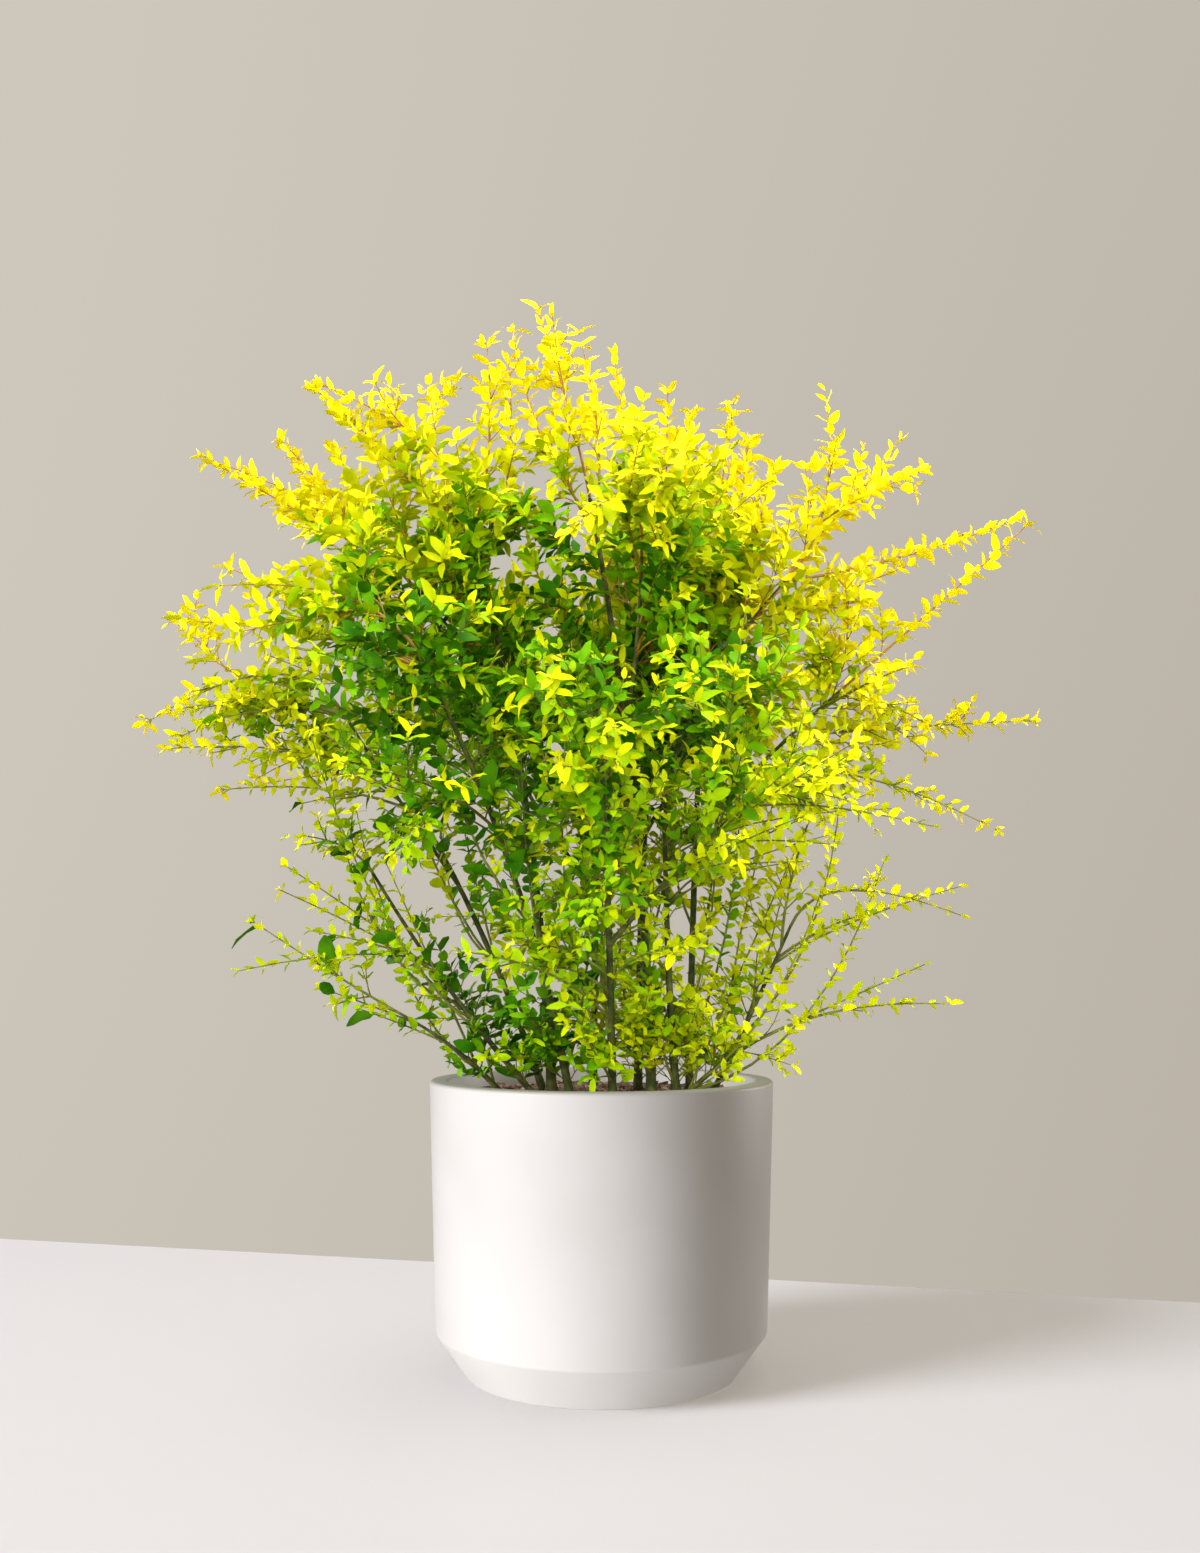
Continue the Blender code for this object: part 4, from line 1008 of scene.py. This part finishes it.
def soilHeight(x, y):
    # sums of sines at four scales, as crumbs and small mounds
    look = soilLook
    random = np.random.RandomState(look["seed"])
    height = np.zeros(np.shape(x))
    for waves, size in look["waves"]:
        for turn in random.uniform(0, 6.28, 4):
            across = x * math.cos(turn) + y * math.sin(turn)
            height += size * np.sin(across * waves + random.uniform(0, 6.28)) / 4
    return soilHigh.z - look["sink"] + look["relief"] * height / 1.2


def makeSoil():
    # a disc of rings lifted by the height field, over a skirt that closes it below
    look = soilLook
    share = np.linspace(look["innermost"], 1, look["rings"]) ** look["crowding"]
    radius = (soilHigh.x - look["edgeRoom"]) * share
    top = turnedPoints(radius, 0, look["spokes"])
    top[..., 2] = np.minimum(soilHeight(top[..., 0], top[..., 1]), soilHigh.z)
    skirt = top[-1:].copy()
    skirt[..., 2] = soilHigh.z - look["depth"]
    ends = [(0, 0, top[0, :, 2].mean()), (0, 0, soilHigh.z - look["depth"])]
    points = np.concatenate([top.reshape(-1, 3), skirt[0], ends])
    faces = ringFaces(look["rings"] + 1, look["spokes"])[:, ::-1]
    keepPiece(meshPiece("soil_crumbs", points, faces, noiseMaterial("soil", look["finish"])),
              "soil", ["soil"])


def makeChips():
    # bark chips: boxes with pinched corners, lying at all angles on the soil
    look = soilLook
    random = np.random.RandomState(look["seed"] + 1)
    count = look["chips"]
    reach = (soilHigh.x - look["chipEdgeRoom"]) * np.sqrt(random.rand(count))
    turn = random.uniform(0, 2 * math.pi, count)
    x, y = reach * np.cos(turn), reach * np.sin(turn)
    size = random.uniform(*look["chipSize"], count)
    box = np.array([(sx, sy, sz) for sz in (-1, 1) for sy in (-1, 1) for sx in (-1, 1)], float)
    shape = box[None] * random.uniform(look["chipPinch"], 1.0, (count, 8, 3)) * look["chipShape"]
    spin = random.uniform(0, 6.28, count)
    tilt = random.uniform(-look["chipTilt"], look["chipTilt"], (count, 2))
    c, s = np.cos(spin)[:, None], np.sin(spin)[:, None]
    px = shape[..., 0] * c - shape[..., 1] * s
    py = shape[..., 0] * s + shape[..., 1] * c
    pz = shape[..., 2] + px * tilt[:, :1] + py * tilt[:, 1:]
    points = np.stack([px, py, pz], axis=-1) * size[:, None, None]
    z = np.minimum(soilHeight(x, y) + size * look["chipLift"], soilHigh.z)
    points += np.stack([x, y, z], axis=-1)[:, None]
    sides = np.array([(0, 2, 3, 1), (4, 5, 7, 6), (0, 1, 5, 4), (2, 6, 7, 3), (0, 4, 6, 2), (1, 3, 7, 5)])
    material = noiseMaterial("bark chips", look["chipFinish"])
    keepPiece(meshPiece("soil_chips", points.reshape(-1, 3), copies(sides, count, 8), material,
                        smooth=False), "soil")


makeSoil()
makeChips()
print("soil done")


# Stage, lights and camera

stageLook = {
    "floor": ((-3.0, -3.2), (3.0, -3.2), (3.0, -0.23), (-3.0, 1.27)),  # its corners
    "finish": {"colours": [(0.3, (219, 217, 219)), (0.7, (219, 217, 219))], "scale": 3.0,
               "roughness": 0.6, "specular": 0.2},
    # the wall's two colours and their slant: painted shade, lighter at the top left and darker at the
    # bottom right
    "wall": ((206, 199, 188), (186, 178, 167)), "wallShadeTurn": (1.0, 0.0, -0.35), "wallShadeSpan": 0.50,
    "fillColour": (255, 240, 210), "ambient": 0.148,
}


def makeFloor():
    look = stageLook
    points = np.array([(x, y, 0) for x, y in look["floor"]])
    material = noiseMaterial("floor", look["finish"])
    floor = meshPiece("floor", points, np.array([(0, 1, 2, 3)]), material, smooth=False)
    floor.visible_diffuse = False  # the lamps from below stand for the light that it sends back
    lit["floor"].objects.link(floor)


def makeWorld():
    # the camera sees a wall with painted shade, darker towards the right and the bottom of the view, and
    # the rest gets a dim even light
    look = stageLook
    world = bpy.data.worlds.new("studio")
    world.use_nodes = True
    nodes, link = world.node_tree.nodes, world.node_tree.links.new
    place = addNode(nodes, "TexCoord")
    across = addNode(nodes, "VectorMath")
    across.operation = "DOT_PRODUCT"
    across.inputs[1].default_value = look["wallShadeTurn"]
    link(place.outputs["Generated"], across.inputs[0])
    limits = {"From Min": -look["wallShadeSpan"], "From Max": look["wallShadeSpan"]}
    span = addNode(nodes, "MapRange", **limits)
    link(across.outputs["Value"], span.inputs["Value"])
    ramp = addNode(nodes, "ValToRGB")
    for stop, colour in zip(ramp.color_ramp.elements, look["wall"]):
        stop.color = (*linear(colour), 1.0)
    link(span.outputs["Result"], ramp.inputs["Fac"])
    wall = nodes["Background"]
    link(ramp.outputs["Color"], wall.inputs["Color"])
    fillColour = (*linear(look["fillColour"]), 1.0)
    fill = addNode(nodes, "Background", Color=fillColour, Strength=look["ambient"])
    path = addNode(nodes, "LightPath")
    mix = addNode(nodes, "MixShader")
    link(path.outputs["Is Camera Ray"], mix.inputs["Fac"])
    link(fill.outputs["Background"], mix.inputs[1])
    link(wall.outputs["Background"], mix.inputs[2])
    link(mix.outputs["Shader"], nodes["World Output"].inputs["Surface"])
    bpy.context.scene.world = world


lamps = (  # name, place, aimed at, width, watts, colour, what it lights, what casts shadows in it
    ("key", (-4.4, -2.5, 2.4), (0, 0, 0.5), 2.6, 245, (255, 255, 255), "plant"),
    ("above", (0.5, -0.4, 2.3), (0.1, 0, 0.9), 1.2, 40, (255, 255, 252), "plant"),
    ("front", (1.2, -2.4, 1.6), (0.1, 0, 0.9), 2.2, 57, (255, 255, 252), "plant"),
    ("low", (-0.5, -2.2, 0.6), (0, 0, 0.6), 1.2, 18, (255, 255, 252), "plant"),
    ("back", (2.4, 2.2, 1.6), (0, 0, 0.3), 1.6, 30, (255, 252, 248), "plant"),
    ("left rim", (-1.9, 1.5, 1.4), (0, 0, 0.9), 1, 36, (255, 255, 252), "plant"),
    ("right rim", (2, 1.6, 1.7), (0, 0, 0.95), 1, 26, (255, 255, 252), "plant"),
    ("plant bounce", (0, -0.6, -1.6), (0, 0, 0.5), 2.4, 24, (255, 252, 248), "plant", "plant"),
    ("pot key", (-3.9, -3.1, 2.2), (0, 0, 0.2), 1.5, 236, (249, 251, 255), "pot", "pot"),
    ("pot bounce", (-0.9, -1.2, -0.9), (0, 0, 0.1), 1.4, 27.5, (252, 252, 255), "pot", "pot"),
    ("pot rim", (2.4, 1, 0.7), (0, 0, 0.2), 0.8, 30, (255, 252, 252), "pot", "pot"),
    ("floor key", (-7, -3.6, 3.3), (0, 0, 0.2), 3.8, 1010, (246, 248, 255), "floor", "pot"),
    ("overhead", (1.2, 0.8, 6), (0.6, 0.3, 0), 6, 80, (255, 249, 243), "floor", "pot"),
    ("open overhead", (1.2, 0.8, 6), (0.6, 0.3, 0), 6, 185, (255, 249, 243), "floor", "floor"),
)


def makeLamps():
    for name, place, aim, width, watts, colour, lights, *shades in lamps:
        data = bpy.data.lights.new(name, "AREA")
        data.shape = "DISK"
        data.size = width
        data.energy = watts
        data.color = linear(colour)
        lamp = bpy.data.objects.new(name, data)
        lamp.visible_camera = False
        bpy.context.scene.collection.objects.link(lamp)
        forward = unit(np.array(aim) - np.array(place))
        lamp.location = place
        bearing = math.atan2(forward[1], forward[0])
        lamp.rotation_euler = (math.acos(-forward[2]), 0, bearing - math.pi / 2)
        lamp.light_linking.receiver_collection = lit[lights]
        if shades:
            lamp.light_linking.blocker_collection = lit[shades[0]]


cameraLook = {"place": (-0.0016, -1.6473, 0.4436), "pitch": 0.143, "lens": 31.89, "sensor": 36.0}


def makeCamera():
    data = bpy.data.cameras.new("camera")
    data.lens = cameraLook["lens"]
    data.sensor_width = cameraLook["sensor"]
    camera = bpy.data.objects.new("camera", data)
    camera.location = cameraLook["place"]
    camera.rotation_euler = (math.pi / 2 + cameraLook["pitch"], 0, 0)
    bpy.context.scene.collection.objects.link(camera)
    bpy.context.scene.camera = camera


makeFloor()
makeWorld()
makeLamps()
makeCamera()
bpy.context.scene.view_settings.view_transform = "Standard"
print("stage, lights and camera done")
